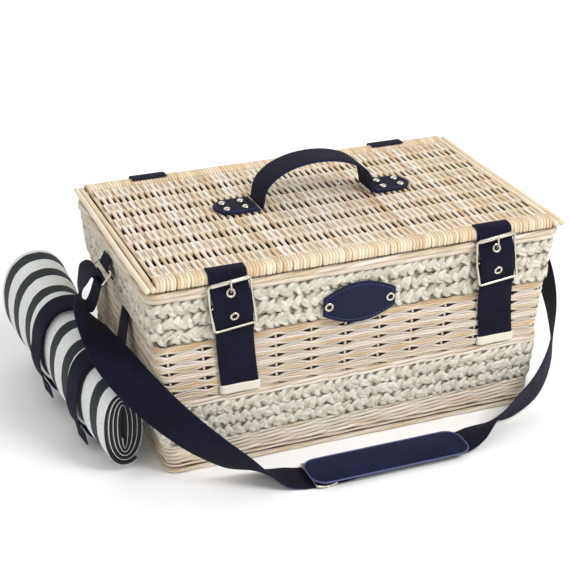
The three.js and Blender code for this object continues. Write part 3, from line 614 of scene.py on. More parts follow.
def randing():
    """Groups of four rods, pinched together where they cross an outer stake and fanned out between. A thicker
    rod runs inside each gap between two rows; painted shade darkens it next to the stakes, so the gaps show
    dark."""
    low, high = box_of("willow_randing")[0][2], box_of("willow_randing")[1][2]
    pitch = (high - low) / RANDING_ROWS
    share = np.arange(STAKES * 12) / (STAKES * 12)
    fan = np.clip(np.abs(np.sin(math.pi * STAKES * share)) * 1.12, 0, 1) ** 1.3
    rods = []
    for row in range(RANDING_ROWS):
        centre = low + pitch * (row + 0.5)
        wander = 0.5 * MM * smooth_noise(share, 13)
        for rank in range(4):
            pinched = (rank - 1.5) * PINCH_SPACING
            fanned = (rank - 1.5) * pitch * 0.27
            z = centre + wander + pinched * (1 - fan) + fanned * fan + 0.2 * MM * smooth_noise(share, 31)
            depth = 0 if rank in (0, 3) else 0.5 * MM
            out = -RANDING_ROD - 0.7 * MM * fan - depth * (1 - fan) + 0.15 * MM * smooth_noise(share, 17)
            # The outer rods of each group carry a little painted shade where the group fans out.
            rods.append({
                "path": wall_points(share, z, out),
                "radius": RANDING_ROD * (0.8 + 0.22 * fan + 0.1 * smooth_noise(share, 7)),
                "tone": rng.uniform(0.05, 0.95),
                "shade": 0.25 * fan * (rank in (0, 3)),
            })
    # Painted shade: the rods behind the row gaps are darkened next to each stake, so the gaps between rows
    # show dark.
    painted_gap_shade = np.abs(np.cos(math.pi * STAKES * share)) ** 0.7
    for line in range(RANDING_ROWS + 1):
        z = low + pitch * line + 0.4 * MM * smooth_noise(share, 13)
        rods.append({
            "path": wall_points(share, z, np.full_like(share, BACK_ROD_DEPTH)),
            "radius": BACK_ROD,
            "tone": rng.uniform(0.3, 0.9),
            "shade": painted_gap_shade,
            "flat": 1.4,
        })
    piece = tubes("willow_randing_rods", rods, WILLOW, sides=7, closed=True)
    place(piece, "basket", "willow_randing")


def stakes():
    """Upright stakes behind the randing. The outer ones show as short posts between its rows."""
    low = box_of("foot_border")[0][2] + 4 * MM
    high = box_of("rim_border")[0][2]
    heights = np.linspace(low, high, 24)
    rods = []
    for index in range(2 * STAKES):
        outer = index % 2 == 0
        out = -4.4 * MM if outer else -6.2 * MM
        swell = np.full_like(heights, out)
        sway = rng.normal(0, 0.0006)
        rods.append({
            "path": wall_points(index / (2 * STAKES) + sway, heights, swell),
            "radius": STAKE_RADIUS * rng.uniform(0.85, 1.05),
            "tone": rng.uniform(0.0, 0.45),
        })
    piece = tubes("stakes", rods, WILLOW, sides=8, reference=X_AXIS)
    place(piece, "basket")


def seagrass_band(node, rows, turns):
    """Rows of loose three-strand plaits. Each strand is a pair of flat seagrass leaves."""
    low, high = box_of(node)[0][2], box_of(node)[1][2]
    pitch = (high - low) / rows
    share = np.arange(780) / 780
    rods = []
    for row in range(rows):
        centre = low + pitch * (row + 0.5) + 0.9 * MM * smooth_noise(share, 5)
        drift = 0.9 * smooth_noise(share, 6)
        for strand in range(3):
            angle = 2 * math.pi * (turns * share + strand / 3) + drift + rng.uniform(-0.25, 0.25)
            angle = angle + 0.6 * smooth_noise(share, 19) + 0.35 * smooth_noise(share, 41)
            depth = np.sin(2 * angle + 0.6)
            for leaf in (-1, 1):
                z = centre + pitch * 0.28 * np.sin(angle) + leaf * pitch * 0.11
                z = z + 0.8 * MM * smooth_noise(share, 47)
                out = 0.3 * MM + 0.75 * MM * depth + 0.4 * MM * smooth_noise(share, 61)
                thick = 1.2 * MM * (1 + 0.2 * smooth_noise(share, 43))
                # Painted shade where the leaf dips below the others.
                shade = np.clip(0.5 - 0.5 * depth, 0, 1) ** 3 * 0.9
                rods.append({
                    "path": wall_points(share, z, out),
                    "radius": thick,
                    "tone": rng.uniform(0.1, 0.9),
                    "shade": shade,
                    "flat": 2.5,
                })
    piece = tubes(f"{node}_plaits", rods, SEAGRASS, sides=7, closed=True)
    place(piece, "basket", node)


randing()
stakes()
seagrass_band("lower_seagrass_band", 3, 44)
seagrass_band("upper_seagrass_band", 3, 44)


# ---- woven base and lid ----
def base_panel():
    """The woven bottom: rods from side to side over and under the base sticks."""
    low, high = box_of("base_weave")
    half = (high - low) / 2
    centre_z = (low[2] + high[2]) / 2
    rod_radius = 1.4 * MM
    stick_pitch = 2 * half[0] / 16
    rows = int(2 * half[1] / (1.75 * rod_radius))
    rods = []
    for row in range(rows):
        y = -half[1] + (row + 0.5) * 2 * half[1] / rows
        corner = max(0.0, abs(y) - half[1] + 11 * MM)
        reach = half[0] - (11 * MM - math.sqrt(max((11 * MM) ** 2 - corner ** 2, 0)))
        x = np.linspace(-reach, reach, 130)
        wave = np.cos(math.pi * (x + half[0]) / stick_pitch + math.pi * row)
        path = np.stack([x, np.full_like(x, y), centre_z + 1.2 * MM * wave], -1)
        rods.append({"path": path, "radius": rod_radius, "tone": rng.uniform(0.1, 0.8), "flat": 0.85})
    for stick in range(17):
        x = -half[0] + stick * stick_pitch
        x = np.clip(x, -half[0] + 2 * MM, half[0] - 2 * MM)
        y = np.linspace(-half[1] + 9 * MM, half[1] - 9 * MM, 12)
        path = np.stack([np.full_like(y, x), y, np.full_like(y, centre_z)], -1)
        rods.append({"path": path, "radius": 1.3 * MM, "tone": rng.uniform(0.1, 0.6)})
    piece = tubes("base_weave_rods", rods, WILLOW, sides=6)
    place(piece, "basket", "base_weave")


LID_WEAVERS = 123
LID_STICKS = 11
WEAVER_RADIUS = 1.65 * MM
WEAVER_SPREAD = 1.16
LID_STICK_RADIUS = 2.3 * MM
STICK_PAIR_OFFSET = 2.7 * MM
DIP_REACH = 7.6 * MM
STICK_RISE = 0.9 * MM


def lid_section(weaver):
    """One weaver's path from under the front border, over it, through the sticks and round the rear one, with
    painted shade where it dips under the sticks.
    """
    low, high = box_of("lid_front_border")
    low, high = low - CENTRE, high - CENTRE
    half_y = (high[1] - low[1]) / 2 - WEAVER_RADIUS
    half_z = (high[2] - low[2]) / 2 - WEAVER_RADIUS
    centre_y, centre_z = (high[1] + low[1]) / 2, (high[2] + low[2]) / 2
    angles = np.radians(np.arange(-60, -331, -15))
    power = 0.62
    wrap_y = centre_y + half_y * np.sign(np.sin(angles)) * np.abs(np.sin(angles)) ** power
    wrap_z = centre_z - half_z * np.sign(np.cos(angles)) * np.abs(np.cos(angles)) ** power
    inner = -centre_y - half_y - 4 * MM
    y = np.linspace(-inner, inner, LID_STICKS * 12 + 1)
    stick_pitch = 2 * inner / LID_STICKS
    beyond_stick = (y + inner) / stick_pitch - 0.5
    nearest = np.round((beyond_stick - weaver % 2) / 2) * 2 + weaver % 2
    past = (beyond_stick - nearest) * stick_pitch
    depth = 1.0 if weaver % 2 else 0.3
    dip = depth * np.clip(1.35 - np.abs(past) / DIP_REACH, 0, 1) ** 0.8
    # Painted shade: a weaver darkens where it dips under the sticks, fully on a stick's rear side and less on
    # its front side.
    shade_by_side = np.where(past > 0, 1.0, 0.8)
    shade = np.clip(dip * 1.4, 0, 1) * shade_by_side
    weave_low, weave_high = box_of("lid_weave")
    weave_z = (weave_low[2] + weave_high[2]) / 2
    z = weave_z + 1.9 * MM - 3.9 * MM * dip
    swell_out = 1.06 - 0.16 * dip
    return wrap_y, wrap_z, y, z, shade, swell_out


def lid_panel():
    low, high = box_of("lid_weave")
    left, right = low[0] - CENTRE[0], high[0] - CENTRE[0]
    pitch = (right - left) / LID_WEAVERS
    rods, wraps = [], []
    for weaver in range(LID_WEAVERS):
        wrap_y, wrap_z, y, z, shade, swell_out = lid_section(weaver)
        x = left + (weaver + 0.5) * pitch
        drift = 0.5 * MM * np.sin(y * rng.uniform(15, 40) + rng.uniform(0, 6))
        tone = rng.uniform(0.0, 0.8)
        thick = WEAVER_RADIUS * rng.uniform(0.93, 1.05)
        rods.append({
            "path": np.stack([x + drift, y, z], -1),
            "radius": thick * swell_out,
            "tone": tone,
            "shade": shade,
            "flat": WEAVER_SPREAD,
        })
        for end in (-1, 1):
            slant = np.linspace(-1, 1, len(wrap_y)) * pitch * rng.uniform(0.2, 0.6)
            path = np.stack([x + slant, -end * wrap_y, wrap_z], -1)
            wraps.append({
                "path": path,
                "radius": thick,
                "tone": np.clip(tone * 0.5 + rng.uniform(0.2, 0.55), 0, 1),
                "flat": WEAVER_SPREAD * rng.uniform(0.95, 1.05),
            })
    for stick in range(LID_STICKS):
        inner = abs(y[0])
        stick_y = -inner + (stick + 0.5) * 2 * inner / LID_STICKS
        x = np.linspace(left + 1 * MM, right - 1 * MM, 60)
        z_middle = (low[2] + high[2]) / 2 + STICK_RISE
        for side in (-1, 1):
            path_y = np.full_like(x, stick_y + side * STICK_PAIR_OFFSET)
            path = np.stack([x, path_y, np.full_like(x, z_middle)], -1)
            rods.append({"path": path, "radius": LID_STICK_RADIUS, "tone": rng.uniform(0.1, 0.5)})
    piece = tubes("lid_weavers", rods, WILLOW_LID, sides=6, reference=X_AXIS)
    place(piece, "lid", "lid_weave")
    piece = tubes("lid_border_wraps", wraps, WILLOW_LID, sides=8, reference=X_AXIS)
    place(piece, "lid", "lid_front_border", "lid_rear_border")


def lid_border_cores():
    """The bundle of rods inside each border, which shows at its ends."""
    for side in ("front", "rear"):
        low, high = box_of(f"lid_{side}_border")
        centre = (low + high) / 2 - CENTRE
        x = np.linspace(low[0] - CENTRE[0] + 0.5 * MM, high[0] - CENTRE[0] - 0.5 * MM, 40)
        rods = []
        for offset_y in (-4.1 * MM, 0, 4.1 * MM):
            y = centre[1] + offset_y + 0.2 * MM * np.sin(x * 60)
            path = np.stack([x, y, np.full_like(x, centre[2])], -1)
            # A light, even painted shade darkens the core rods inside the border.
            rods.append({"path": path, "radius": 2.3 * MM, "tone": rng.uniform(0.3, 0.7), "shade": 0.2})
        place(tubes(f"lid_{side}_core", rods, WILLOW_LID, sides=10), "lid")


def lid_edge_rods():
    """Two smooth rods along each end of the lid, slightly bent and tapered."""
    for side in ("left", "right"):
        for rank in ("inner", "outer"):
            node = f"lid_rod_{side}_{rank}"
            low, high = box_of(node)
            centre = (low + high) / 2 - CENTRE
            y = np.linspace(low[1] - CENTRE[1], high[1] - CENTRE[1], 60)
            bend = 0.35 * MM * np.sin(y * 21 + rng.uniform(0, 6))
            path = np.stack([centre[0] + bend, y, centre[2] + 0.6 * bend], -1)
            radius = (high[0] - low[0]) / 2 * np.linspace(0.97, 0.88, len(y))
            rod = {"path": path, "radius": radius, "tone": rng.uniform(0.3, 0.6)}
            place(tubes(f"{node}_willow", [rod], WILLOW_LID, sides=14), "lid", node)


base_panel()
lid_panel()
lid_border_cores()
lid_edge_rods()


# ---- straps across X: hinges, billets, chapes ----
def across_x(stops, x):
    return [[x, y, z, 1, 0, 0] for y, z in stops]


def arc_stops(centre_u, centre_z, radius, start, end):
    steps = math.ceil(abs(end - start) / 30)
    angles = np.radians(np.linspace(start, end, steps + 1))
    return [[centre_u + radius * math.cos(a), centre_z + radius * math.sin(a)] for a in angles]


LID_TOP_Z = box_of("lid_front_border")[1][2] - GAP
LID_BACK_Y = box_of("lid_rear_border")[1][1] - CENTRE[1]


def hinge_straps():
    top = LID_TOP_Z + GAP + 1.2 * MM
    back = LID_BACK_Y + GAP + 1.1 * MM
    stops = [
        [back - 17 * MM, top],
        [back - 7 * MM, top],
        [back - 1.6 * MM, top - 1.6 * MM],
        [back, top - 7 * MM],
        [back, WALL_TOP_Z - 6 * MM],
        [back, WALL_TOP_Z - 13 * MM],
    ]
    for side, sign in SIDES:
        strap = ribbon(f"hinge_webbing_{side}", across_x(stops, sign * LATCH_X), WEBBING_WIDTH,
                       WEBBING_THICKNESS, 60)
        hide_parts(f"hinge_strap_{side}")
        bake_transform(strap)


BILLET_STOPS = np.array([
    [-126, 227.5],
    [-132, 227.5],
    [-137.6, 225.6],
    [-139.2, 220],
    [-139.2, 214],
    [-142, 205],
    [-145.2, 192],
    [-143, 178],
    [-140.6, 167],
    [-140.1, 160],
]) * MM
CENTRE_BAR = np.array([-140.2, 192]) * MM
ROLLER_BAR = np.array([-142.6, 217]) * MM
BOTTOM_BAR = np.array([-143.2, 167]) * MM
WIRE_RADIUS = 1.4 * MM


def billets():
    for side, sign in SIDES:
        x = sign * LATCH_X
        strap = ribbon(f"billet_webbing_{side}", across_x(BILLET_STOPS, x), WEBBING_WIDTH,
                       WEBBING_THICKNESS, 90)
        hang_aslant(strap, x)
        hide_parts(f"billet_{side}")
        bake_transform(strap)


def chapes():
    loop = WIRE_RADIUS + GAP + WEBBING_THICKNESS / 2
    y, z = CENTRE_BAR
    stops = (np.array([
        [-129.6, 87],
        [-130.2, 97],
        [-131.4, 125],
        [-134.2, 146],
        [-137, 157],
        [-138.2, 170],
        [-139.4, 180],
        [-141.8, 187],
    ]) * MM).tolist()
    stops += arc_stops(y, z, loop, 180, 0)
    stops += [[y + loop + 0.4 * MM, z - 6 * MM], [-136.9 * MM, 180 * MM], [-136.6 * MM, 174 * MM]]
    for side, sign in SIDES:
        x = sign * LATCH_X
        strap = ribbon(f"chape_webbing_{side}", across_x(stops, x), WEBBING_WIDTH, WEBBING_THICKNESS, 120)
        hang_aslant(strap, x)
        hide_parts(f"chape_{side}")
        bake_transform(strap)


hinge_straps()
billets()
chapes()


def chape_weavers():
    """One broad flat weaver that holds the lower end of each chape in the wall."""
    z = 91.6 * MM
    for side, sign in SIDES:
        middle_x = sign * LATCH_X + aslant_shift(z)
        stops = []
        for share in (-1, -0.9, 0, 0.9, 1):
            bulge = 2.2 * MM if abs(share) < 1 else 0
            stops.append([middle_x + share * 21.5 * MM, -wall_half(z)[1] - bulge, z, 0, 0, 1])
        weaver = ribbon(f"chape_weaver_{side}", stops, 10 * MM, 1.6 * MM, 30, WILLOW)
        place(weaver, "basket")


chape_weavers()


# ---- buckles ----
def bent_loop(corners, bend):
    """A closed path through the corners, each turned with a small bend."""
    path = []
    count = len(corners)
    for index, corner in enumerate(corners):
        before, after = corners[index - 1], corners[(index + 1) % count]
        start = corner + unit(before - corner) * bend
        end = corner + unit(after - corner) * bend
        for t in np.linspace(0, 1, 7):
            path.append((1 - t) ** 2 * start + 2 * t * (1 - t) * corner + t ** 2 * end)
        length = np.linalg.norm(after - corner)
        steps = max(2, int(length / (4 * MM)))
        next_start = after + unit(corner - after) * bend
        for t in np.linspace(0, 1, steps + 1)[1:-1]:
            path.append(end + (next_start - end) * t)
    return np.array(path)


def wire(name, paths, radius, material, closed, reference=Y_AXIS):
    rods = [{"path": np.asarray(path), "radius": radius, "tone": 0.5} for path in paths]
    return tubes(name, rods, material, sides=14, closed=closed, reference=reference)


def join_pieces(pieces):
    bpy.ops.object.select_all(action="DESELECT")
    for piece in pieces:
        piece.select_set(True)
    bpy.context.view_layer.objects.active = pieces[0]
    bpy.ops.object.join()
    return pieces[0]


def buckles():
    reach = 20.6 * MM + WIRE_RADIUS
    for side, sign in SIDES:
        x = sign * LATCH_X

        def corner(end, bar):
            return np.array([x + end * reach, bar[0], bar[1]])

        outline = [
            corner(-1, ROLLER_BAR), corner(1, ROLLER_BAR), corner(1, CENTRE_BAR),
            corner(1, BOTTOM_BAR), corner(-1, BOTTOM_BAR), corner(-1, CENTRE_BAR),
        ]
        loop = wire(f"buckle_wire_{side}", [bent_loop(outline, 3.4 * MM)], WIRE_RADIUS, NICKEL, True)
        bar_path = np.linspace(corner(-1, CENTRE_BAR), corner(1, CENTRE_BAR), 12)
        bar = wire(f"buckle_bar_{side}", [bar_path], WIRE_RADIUS, NICKEL, False)
        place(hang_aslant(join_pieces([loop, bar]), x), f"latch_{side}", f"buckle_frame_{side}")

        half = 19 * MM
        bore, rim = WIRE_RADIUS + 0.25 * MM, 2.3 * MM
        profile = [
            [bore, -half], [rim - 0.4 * MM, -half], [rim, -half + 0.4 * MM],
            [rim, half - 0.4 * MM], [rim - 0.4 * MM, half], [bore, half], [bore, -half],
        ]
        spot = np.array([x, *ROLLER_BAR])
        roller = lathe(f"roller_{side}", profile, spot, X_AXIS, PALE_PLATE)
        place(hang_aslant(roller, x), f"roller_{side}", f"buckle_roller_{side}")

        ring_radius = WIRE_RADIUS + 0.25 * MM + 1.1 * MM
        angles = np.linspace(0, 2 * math.pi, 28, endpoint=False)
        ring_path = np.stack([
            np.full_like(angles, x),
            CENTRE_BAR[0] + ring_radius * np.cos(angles),
            CENTRE_BAR[1] + ring_radius * np.sin(angles),
        ], -1)
        stops = np.array([
            [0, ring_radius / MM], [0.8, 8.5], [0.3, 11.4], [-1.8, 13], [-4, 14.6],
            [-6.4, 18], [-7.4, 23], [-7.5, 28.5],
        ]) * MM
        pin_stops = [[x, CENTRE_BAR[0] + dy, CENTRE_BAR[1] + dz] for dy, dz in stops]
        ring = wire(f"tongue_ring_{side}", [ring_path], 1.1 * MM, NICKEL, True, X_AXIS)
        pin = wire(f"tongue_pin_{side}", [spline(pin_stops, 60)], 1.1 * MM, NICKEL, False, X_AXIS)
        place(hang_aslant(join_pieces([ring, pin]), x), f"tongue_{side}", f"buckle_tongue_{side}")


buckles()


# ---- eyelets and rivets ----
EYELET_PROFILE = np.array([
    [2.6, -1.6], [3.4, -1.65], [4.4, -1.5], [4.4, -1.05], [3.2, -1.05], [3.2, 1.05], [4.9, 1.05],
    [4.9, 1.35], [4.5, 1.75], [3.9, 1.95], [3.2, 1.9], [2.75, 1.7], [2.6, 1.4], [2.6, -1.6],
]) * MM


# Profile of a thin disc behind an eyelet, coloured with painted shade for the hole's hollow.
EYELET_SHADE_DISC = np.array([[0.01, -0.7], [2.7, -0.7], [2.7, -1.0], [0.01, -1.0]]) * MM


def billet_lean(z):
    """The billet's place and the direction its face looks in at a height."""
    path = spline(np.insert(BILLET_STOPS, 0, 0, axis=1), 400)
    index = int(np.argmin(np.abs(path[:, 2] - z)))
    along = tangents(path, False)[index]
    return path[index][1], unit(np.array([0, -abs(along[2]), along[1] * np.sign(along[2])]))


def eyelets():
    for side, sign in SIDES:
        x = sign * LATCH_X
        for rank, z in ((1, 205 * MM), (2, 180 * MM)):
            y, facing = billet_lean(z)
            spot = np.array([x, y, z])
            ring = lathe(f"eyelet_{side}_{rank}", EYELET_PROFILE, spot, facing, NICKEL)
            place(hang_aslant(ring, x), f"billet_{side}", f"billet_eyelet_{side}_{rank}")
            # A dark disc behind the eyelet carries painted shade for the hole's hollow.
            back = lathe(f"eyelet_shade_disc_{side}_{rank}", EYELET_SHADE_DISC, spot, facing, EYELET_SHADE_PAINT)
            place(hang_aslant(back, x), f"billet_{side}")
        centre = middle(f"badge_eyelet_{side}") - CENTRE
        lean = math.atan2(WALL_TOP_HALF[1] - WALL_FOOT_HALF[1], WALL_TOP_Z)
        facing = [0, -math.cos(lean), -math.sin(lean)]
        ring = lathe(f"badge_ring_{side}", EYELET_PROFILE, centre, facing, NICKEL)
        place(ring, "basket", f"badge_eyelet_{side}")
        # A dark disc behind the badge ring carries painted shade for the hole's hollow.
        back = lathe(f"badge_ring_shade_disc_{side}", EYELET_SHADE_DISC, centre, facing, EYELET_SHADE_PAINT)
        place(back, "basket")


def rivets():
    for side in ("left", "right"):
        for rank in range(1, 5):
            node = f"handle_rivet_{side}_{rank}"
            low, high = box_of(node)
            centre = (low + high) / 2 - CENTRE
            dome = [[4.1 * MM * math.cos(a), 2.2 * MM * math.sin(a)] for a in np.linspace(0, math.pi / 2, 9)]
            top = high[2] - 2.1 * MM
            low_z = low[2]
            profile = [[0.01 * MM, low_z], [3.0 * MM, low_z + 0.2 * MM], [3.2 * MM, low_z + 1.0 * MM],
                       [1.5 * MM, low_z + 1.0 * MM], [1.5 * MM, top - 0.2 * MM], [3.7 * MM, top - 0.2 * MM]]
            profile += [[max(radius, 0.01 * MM), top + height] for radius, height in dome]
            head = lathe(f"rivet_{side}_{rank}", profile, np.array([centre[0], centre[1], 0]), Z_AXIS,
                         NICKEL)
            place(head, "lid", node)


eyelets()
rivets()


# ---- badge ----
def badge():
    """A blank oval patch with blunt ends, a softly rounded edge and a line of stitches."""
    low, high = box_of("badge")
    centre = middle("badge") - CENTRE
    half_length = (high[0] - low[0]) / 2
    half_height = (high[2] - low[2]) / 2
    lean = math.atan2(WALL_TOP_HALF[1] - WALL_FOOT_HALF[1], WALL_TOP_Z)
    reach = math.acos(0.45)
    outline = []
    for sign in (1, -1):
        for share in np.linspace(1, -1, 40):
            outline.append([sign * share * half_length, sign * half_height * math.cos(share * reach)])
    outline = np.array(outline)
    up = np.array([0, -math.sin(lean), math.cos(lean)])
    out = np.array([0, -math.cos(lean), -math.sin(lean)])

    def at(scale, height):
        shrunk = outline * (1 - scale / np.array([half_length, half_height]))
        return centre + shrunk[:, :1] * X_AXIS + shrunk[:, 1:] * up + height * out

    levels = [
        (0.3, -0.75), (0, -0.4), (0, 0.3), (0.35, 0.65), (0.9, 0.75), (2.6, 0.72), (3.4, 0.5), (4.2, 0.7),
    ]
    loops = [at(scale * MM, height * MM) for scale, height in levels]
    loops += [at(6 * MM, 0.75 * MM), at(16 * MM, 0.78 * MM)]
    count = len(outline)
    points = np.concatenate(loops)
    here = np.arange(len(loops) - 1)[:, None] * count + np.arange(count)
    quads = np.stack([here, np.roll(here, -1, 1), np.roll(here, -1, 1) + count, here + count], -1)
    faces = quads[:, :, ::-1].reshape(-1, 4).tolist()
    last = (len(loops) - 1) * count
    faces.append(list(range(count)))
    faces.append(list(range(last + count - 1, last - 1, -1)))
    patch = add_mesh("badge_patch", points, faces, BADGE)
    place(patch, "basket", "badge")
    place(stitches("badge_stitches", at(3.4 * MM, 0.75 * MM), 2.6 * MM, out), "basket")


def stitches(name, path, length, out, closed=True):
    """A row of short threads along a path."""
    path = np.asarray(path)
    if closed:
        path = np.vstack([path, path[:1]])
    reach = reach_along(path)
    count = max(2, int(reach[-1] / (length * 1.45)))
    rods = []
    for index in range(count):
        start = reach[-1] * index / count
        steps = np.linspace(start, start + length, 5)
        points = np.stack([np.interp(steps, reach, path[:, axis]) for axis in range(3)], -1)
        arch = np.sin(np.linspace(0, math.pi, 5))[:, None] * 0.25 * MM
        rods.append({"path": points + arch * np.asarray(out), "radius": 0.28 * MM, "tone": 0.5})
    return tubes(name, rods, THREAD, sides=6, reference=np.asarray(out) * 0.7 + [0.1, 0.2, 0.3])


badge()


# ---- handle ----
HANDLE_Y = middle("handle_grip")[1] - CENTRE[1]
HANDLE_X = middle("handle_grip")[0] - CENTRE[0]
HANDLE_WIDTH = 38 * MM
HANDLE_HALF_SPAN = 64.5 * MM
HANDLE_RISE = 45 * MM
HANDLE_SPRING_Z = LID_TOP_Z + GAP


def handle():
    """The arch: two layers of webbing stitched along both edges."""
    stops = []
    for angle in np.linspace(math.pi, 0, 9):
        x = HANDLE_X + HANDLE_HALF_SPAN * math.cos(angle)
        rise = HANDLE_RISE * max(math.sin(angle), 0) ** 0.8
        stops.append([x, HANDLE_Y, HANDLE_SPRING_Z + rise, 0, 1, 0])
    grip = ribbon("handle_webbing", stops, HANDLE_WIDTH, 3 * MM, 90)
    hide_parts("handle_grip")
    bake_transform(grip)
    path = spline(np.array(stops)[:, :3], 90)
    along = tangents(path, False)
    out = np.cross(along, Y_AXIS)
    for edge, sign in (("front", -1), ("back", 1)):
        line = path + out * -1.55 * MM + Y_AXIS * sign * (HANDLE_WIDTH / 2 - 3 * MM)
        row = stitches(f"handle_stitches_{edge}", line, 3 * MM, (0, 0, 1), closed=False)
        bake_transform(row)


def handle_feet():
    """Rounded webbing feet with a raised edge, riveted to the lid."""
    for side, sign in SIDES:
        low, high = box_of(f"handle_foot_{side}")
        centre = (low + high) / 2 - CENTRE
        half_length, half_width = (high[0] - low[0]) / 2, (high[1] - low[1]) / 2
        thickness = high[2] - low[2]
        angles = np.linspace(-math.pi / 2, math.pi / 2, 25)
        outline = [[-half_length, -half_width]]
        for angle in angles:
            straight = half_length - half_width
            outline.append([straight + half_width * math.cos(angle), half_width * math.sin(angle)])
        outline.append([-half_length, half_width])
        outline = np.array(outline) * [sign, 1]
        outline = outline[::sign]

        def at(inset, height):
            scale = 1 - inset / np.array([half_length, half_width])
            flat = outline * scale + centre[:2]
            return np.column_stack([flat, np.full(len(flat), low[2] + height)])

        levels = [(0.3, 0), (0, 0.4), (0, thickness / MM - 0.7), (0.6, thickness / MM), (3, thickness / MM)]
        loops = [at(inset * MM, height * MM) for inset, height in levels]
        count = len(outline)
        points = np.concatenate(loops)
        here = np.arange(len(loops) - 1)[:, None] * count + np.arange(count)
        quads = np.stack([here, np.roll(here, -1, 1), np.roll(here, -1, 1) + count, here + count], -1)
        faces = quads.reshape(-1, 4).tolist()
        last = (len(loops) - 1) * count
        faces.append(list(range(count))[::-1])
        faces.append(list(range(last, last + count)))
        corners = np.concatenate([np.array(face) for face in faces])
        uv = points[corners][:, [1, 0]]
        edge = np.repeat([1.0, 1, 1, 0.6, 0], count)
        foot = add_mesh(f"foot_webbing_{side}", points, faces, WEBBING, {"edge": edge}, uv)
        place(foot, "lid", f"handle_foot_{side}")
        line = at(2.6 * MM, thickness)
        place(stitches(f"foot_stitches_{side}", line, 2.6 * MM, (0, 0, 1)), "lid")


handle()
handle_feet()


# ---- rolled blanket ----
ROLL_FRONT_Y = box_of("blanket_roll")[0][1] - CENTRE[1]
ROLL_BACK_Y = box_of("blanket_roll")[1][1] - CENTRE[1]
ROLL_WALL_X = box_of("blanket_roll")[1][0] - CENTRE[0]
ROLL_SQUARENESS = 2.2
BLANKET_STRAP_WIDTH = 26 * MM
BLANKET_STRAP_Y = {"front": -38 * MM, "rear": 62 * MM}
ROLL_TURNS = 4.25
LAYER_THICKNESS = 6.2 * MM
ROLL_CORE = 0.9
BLANKET_LENGTH = 0.8


def roll_section(y):
    share = (y - ROLL_FRONT_Y) / (ROLL_BACK_Y - ROLL_FRONT_Y)
    half_width = (21.5 + 21.5 * np.maximum(share, 0) ** 0.85) * MM
    half_height = (42.5 + 14.5 * share) * MM
    return half_width, half_height, ROLL_WALL_X - half_width, (53.5 + 26.5 * share) * MM


def roll_point(y, angle, outset):
    """A point on the roll's outline. Angle 0 is the top, and a quarter turn faces the wall."""
    half_width, half_height, x, z = roll_section(y)
    power = 2 / ROLL_SQUARENESS
    across, up = np.sin(angle), np.cos(angle)
    across = np.sign(across) * np.abs(across) ** power
    up = np.sign(up) * np.abs(up) ** power
    return x + (half_width + outset) * across, z + (half_height + outset) * up


def blanket():
    """One long folded strip rolled up: a spiral sheet with a fleece face and a dark backing."""
    around, stations = 420, 64
    turn = np.linspace(0, 1, around)
    y = np.linspace(ROLL_FRONT_Y + 1 * MM, ROLL_BACK_Y - 1 * MM, stations)
    grid_turn, grid_y = np.meshgrid(turn, y, indexing="ij")
    squeeze = sum(np.exp(-((grid_y - strap_y) / (14 * MM)) ** 2) for strap_y in BLANKET_STRAP_Y.values())
    ripple = np.sin(grid_y * 95 + 5 * grid_turn) * 0.5 + np.sin(grid_y * 47 + 31 * grid_turn) * 0.5
    start = math.radians(150)
    angle = start + grid_turn * ROLL_TURNS * 2 * math.pi
    surfaces = []
    for inset in (0.0, LAYER_THICKNESS):
        half_width, half_height, x, z = roll_section(grid_y)
        depth = grid_turn * ROLL_CORE
        loose = (1.6 * MM - 2.4 * MM * squeeze + 0.8 * MM * ripple) * (1 - depth)
        slim = 1 - depth
        power = 2 / (ROLL_SQUARENESS - 0.15 * depth)
        across, up = np.sin(angle), np.cos(angle)
        across = np.sign(across) * np.abs(across) ** power
        up = np.sign(up) * np.abs(up) ** power
        thickness = inset * (half_width / (41.5 * MM)) ** 0.5 * 0.92
        px = x + (half_width * slim + loose - thickness) * across
        pz = z + ((half_height - half_width * 0.62 * depth) * (1 - 0.25 * depth) + loose - thickness) * up
        surfaces.append(np.stack([px, grid_y, pz], -1))
    points = np.concatenate([surface.reshape(-1, 3) for surface in surfaces])
    size = around * stations
    index = np.arange(size).reshape(around, stations)
    quads = np.stack([index[:-1, :-1], index[1:, :-1], index[1:, 1:], index[:-1, 1:]], -1).reshape(-1, 4)
    faces = quads.tolist() + (quads[:, ::-1] + size).tolist()
    rim = np.concatenate([index[:, 0], index[-1, 1:], index[-2::-1, -1], index[0, -2:0:-1]])
    after = np.roll(rim, -1)
    faces += np.stack([rim, rim + size, after + size, after], -1).tolist()
    length = turn * BLANKET_LENGTH
    u = np.tile(np.repeat(length, stations), 2)
    v = np.tile(np.tile(y - ROLL_FRONT_Y, around), 2)
    corners = np.array(faces).ravel()
    uv = np.stack([u[corners], v[corners]], -1)
    backing = np.repeat([0.0, 1.0], size)
    piece = add_mesh("rolled_blanket", points, faces, FLEECE, {"backing": backing}, uv)
    place(piece, "blanket", "blanket_roll")
    return piece


rolled = blanket()


def strap_stop(y, angle, outset):
    near = roll_point(y - BLANKET_STRAP_WIDTH / 2, math.radians(angle), outset)
    far = roll_point(y + BLANKET_STRAP_WIDTH / 2, math.radians(angle), outset)
    position = [(near[0] + far[0]) / 2, y, (near[1] + far[1]) / 2]
    return [*position, far[0] - near[0], BLANKET_STRAP_WIDTH, far[1] - near[1]]


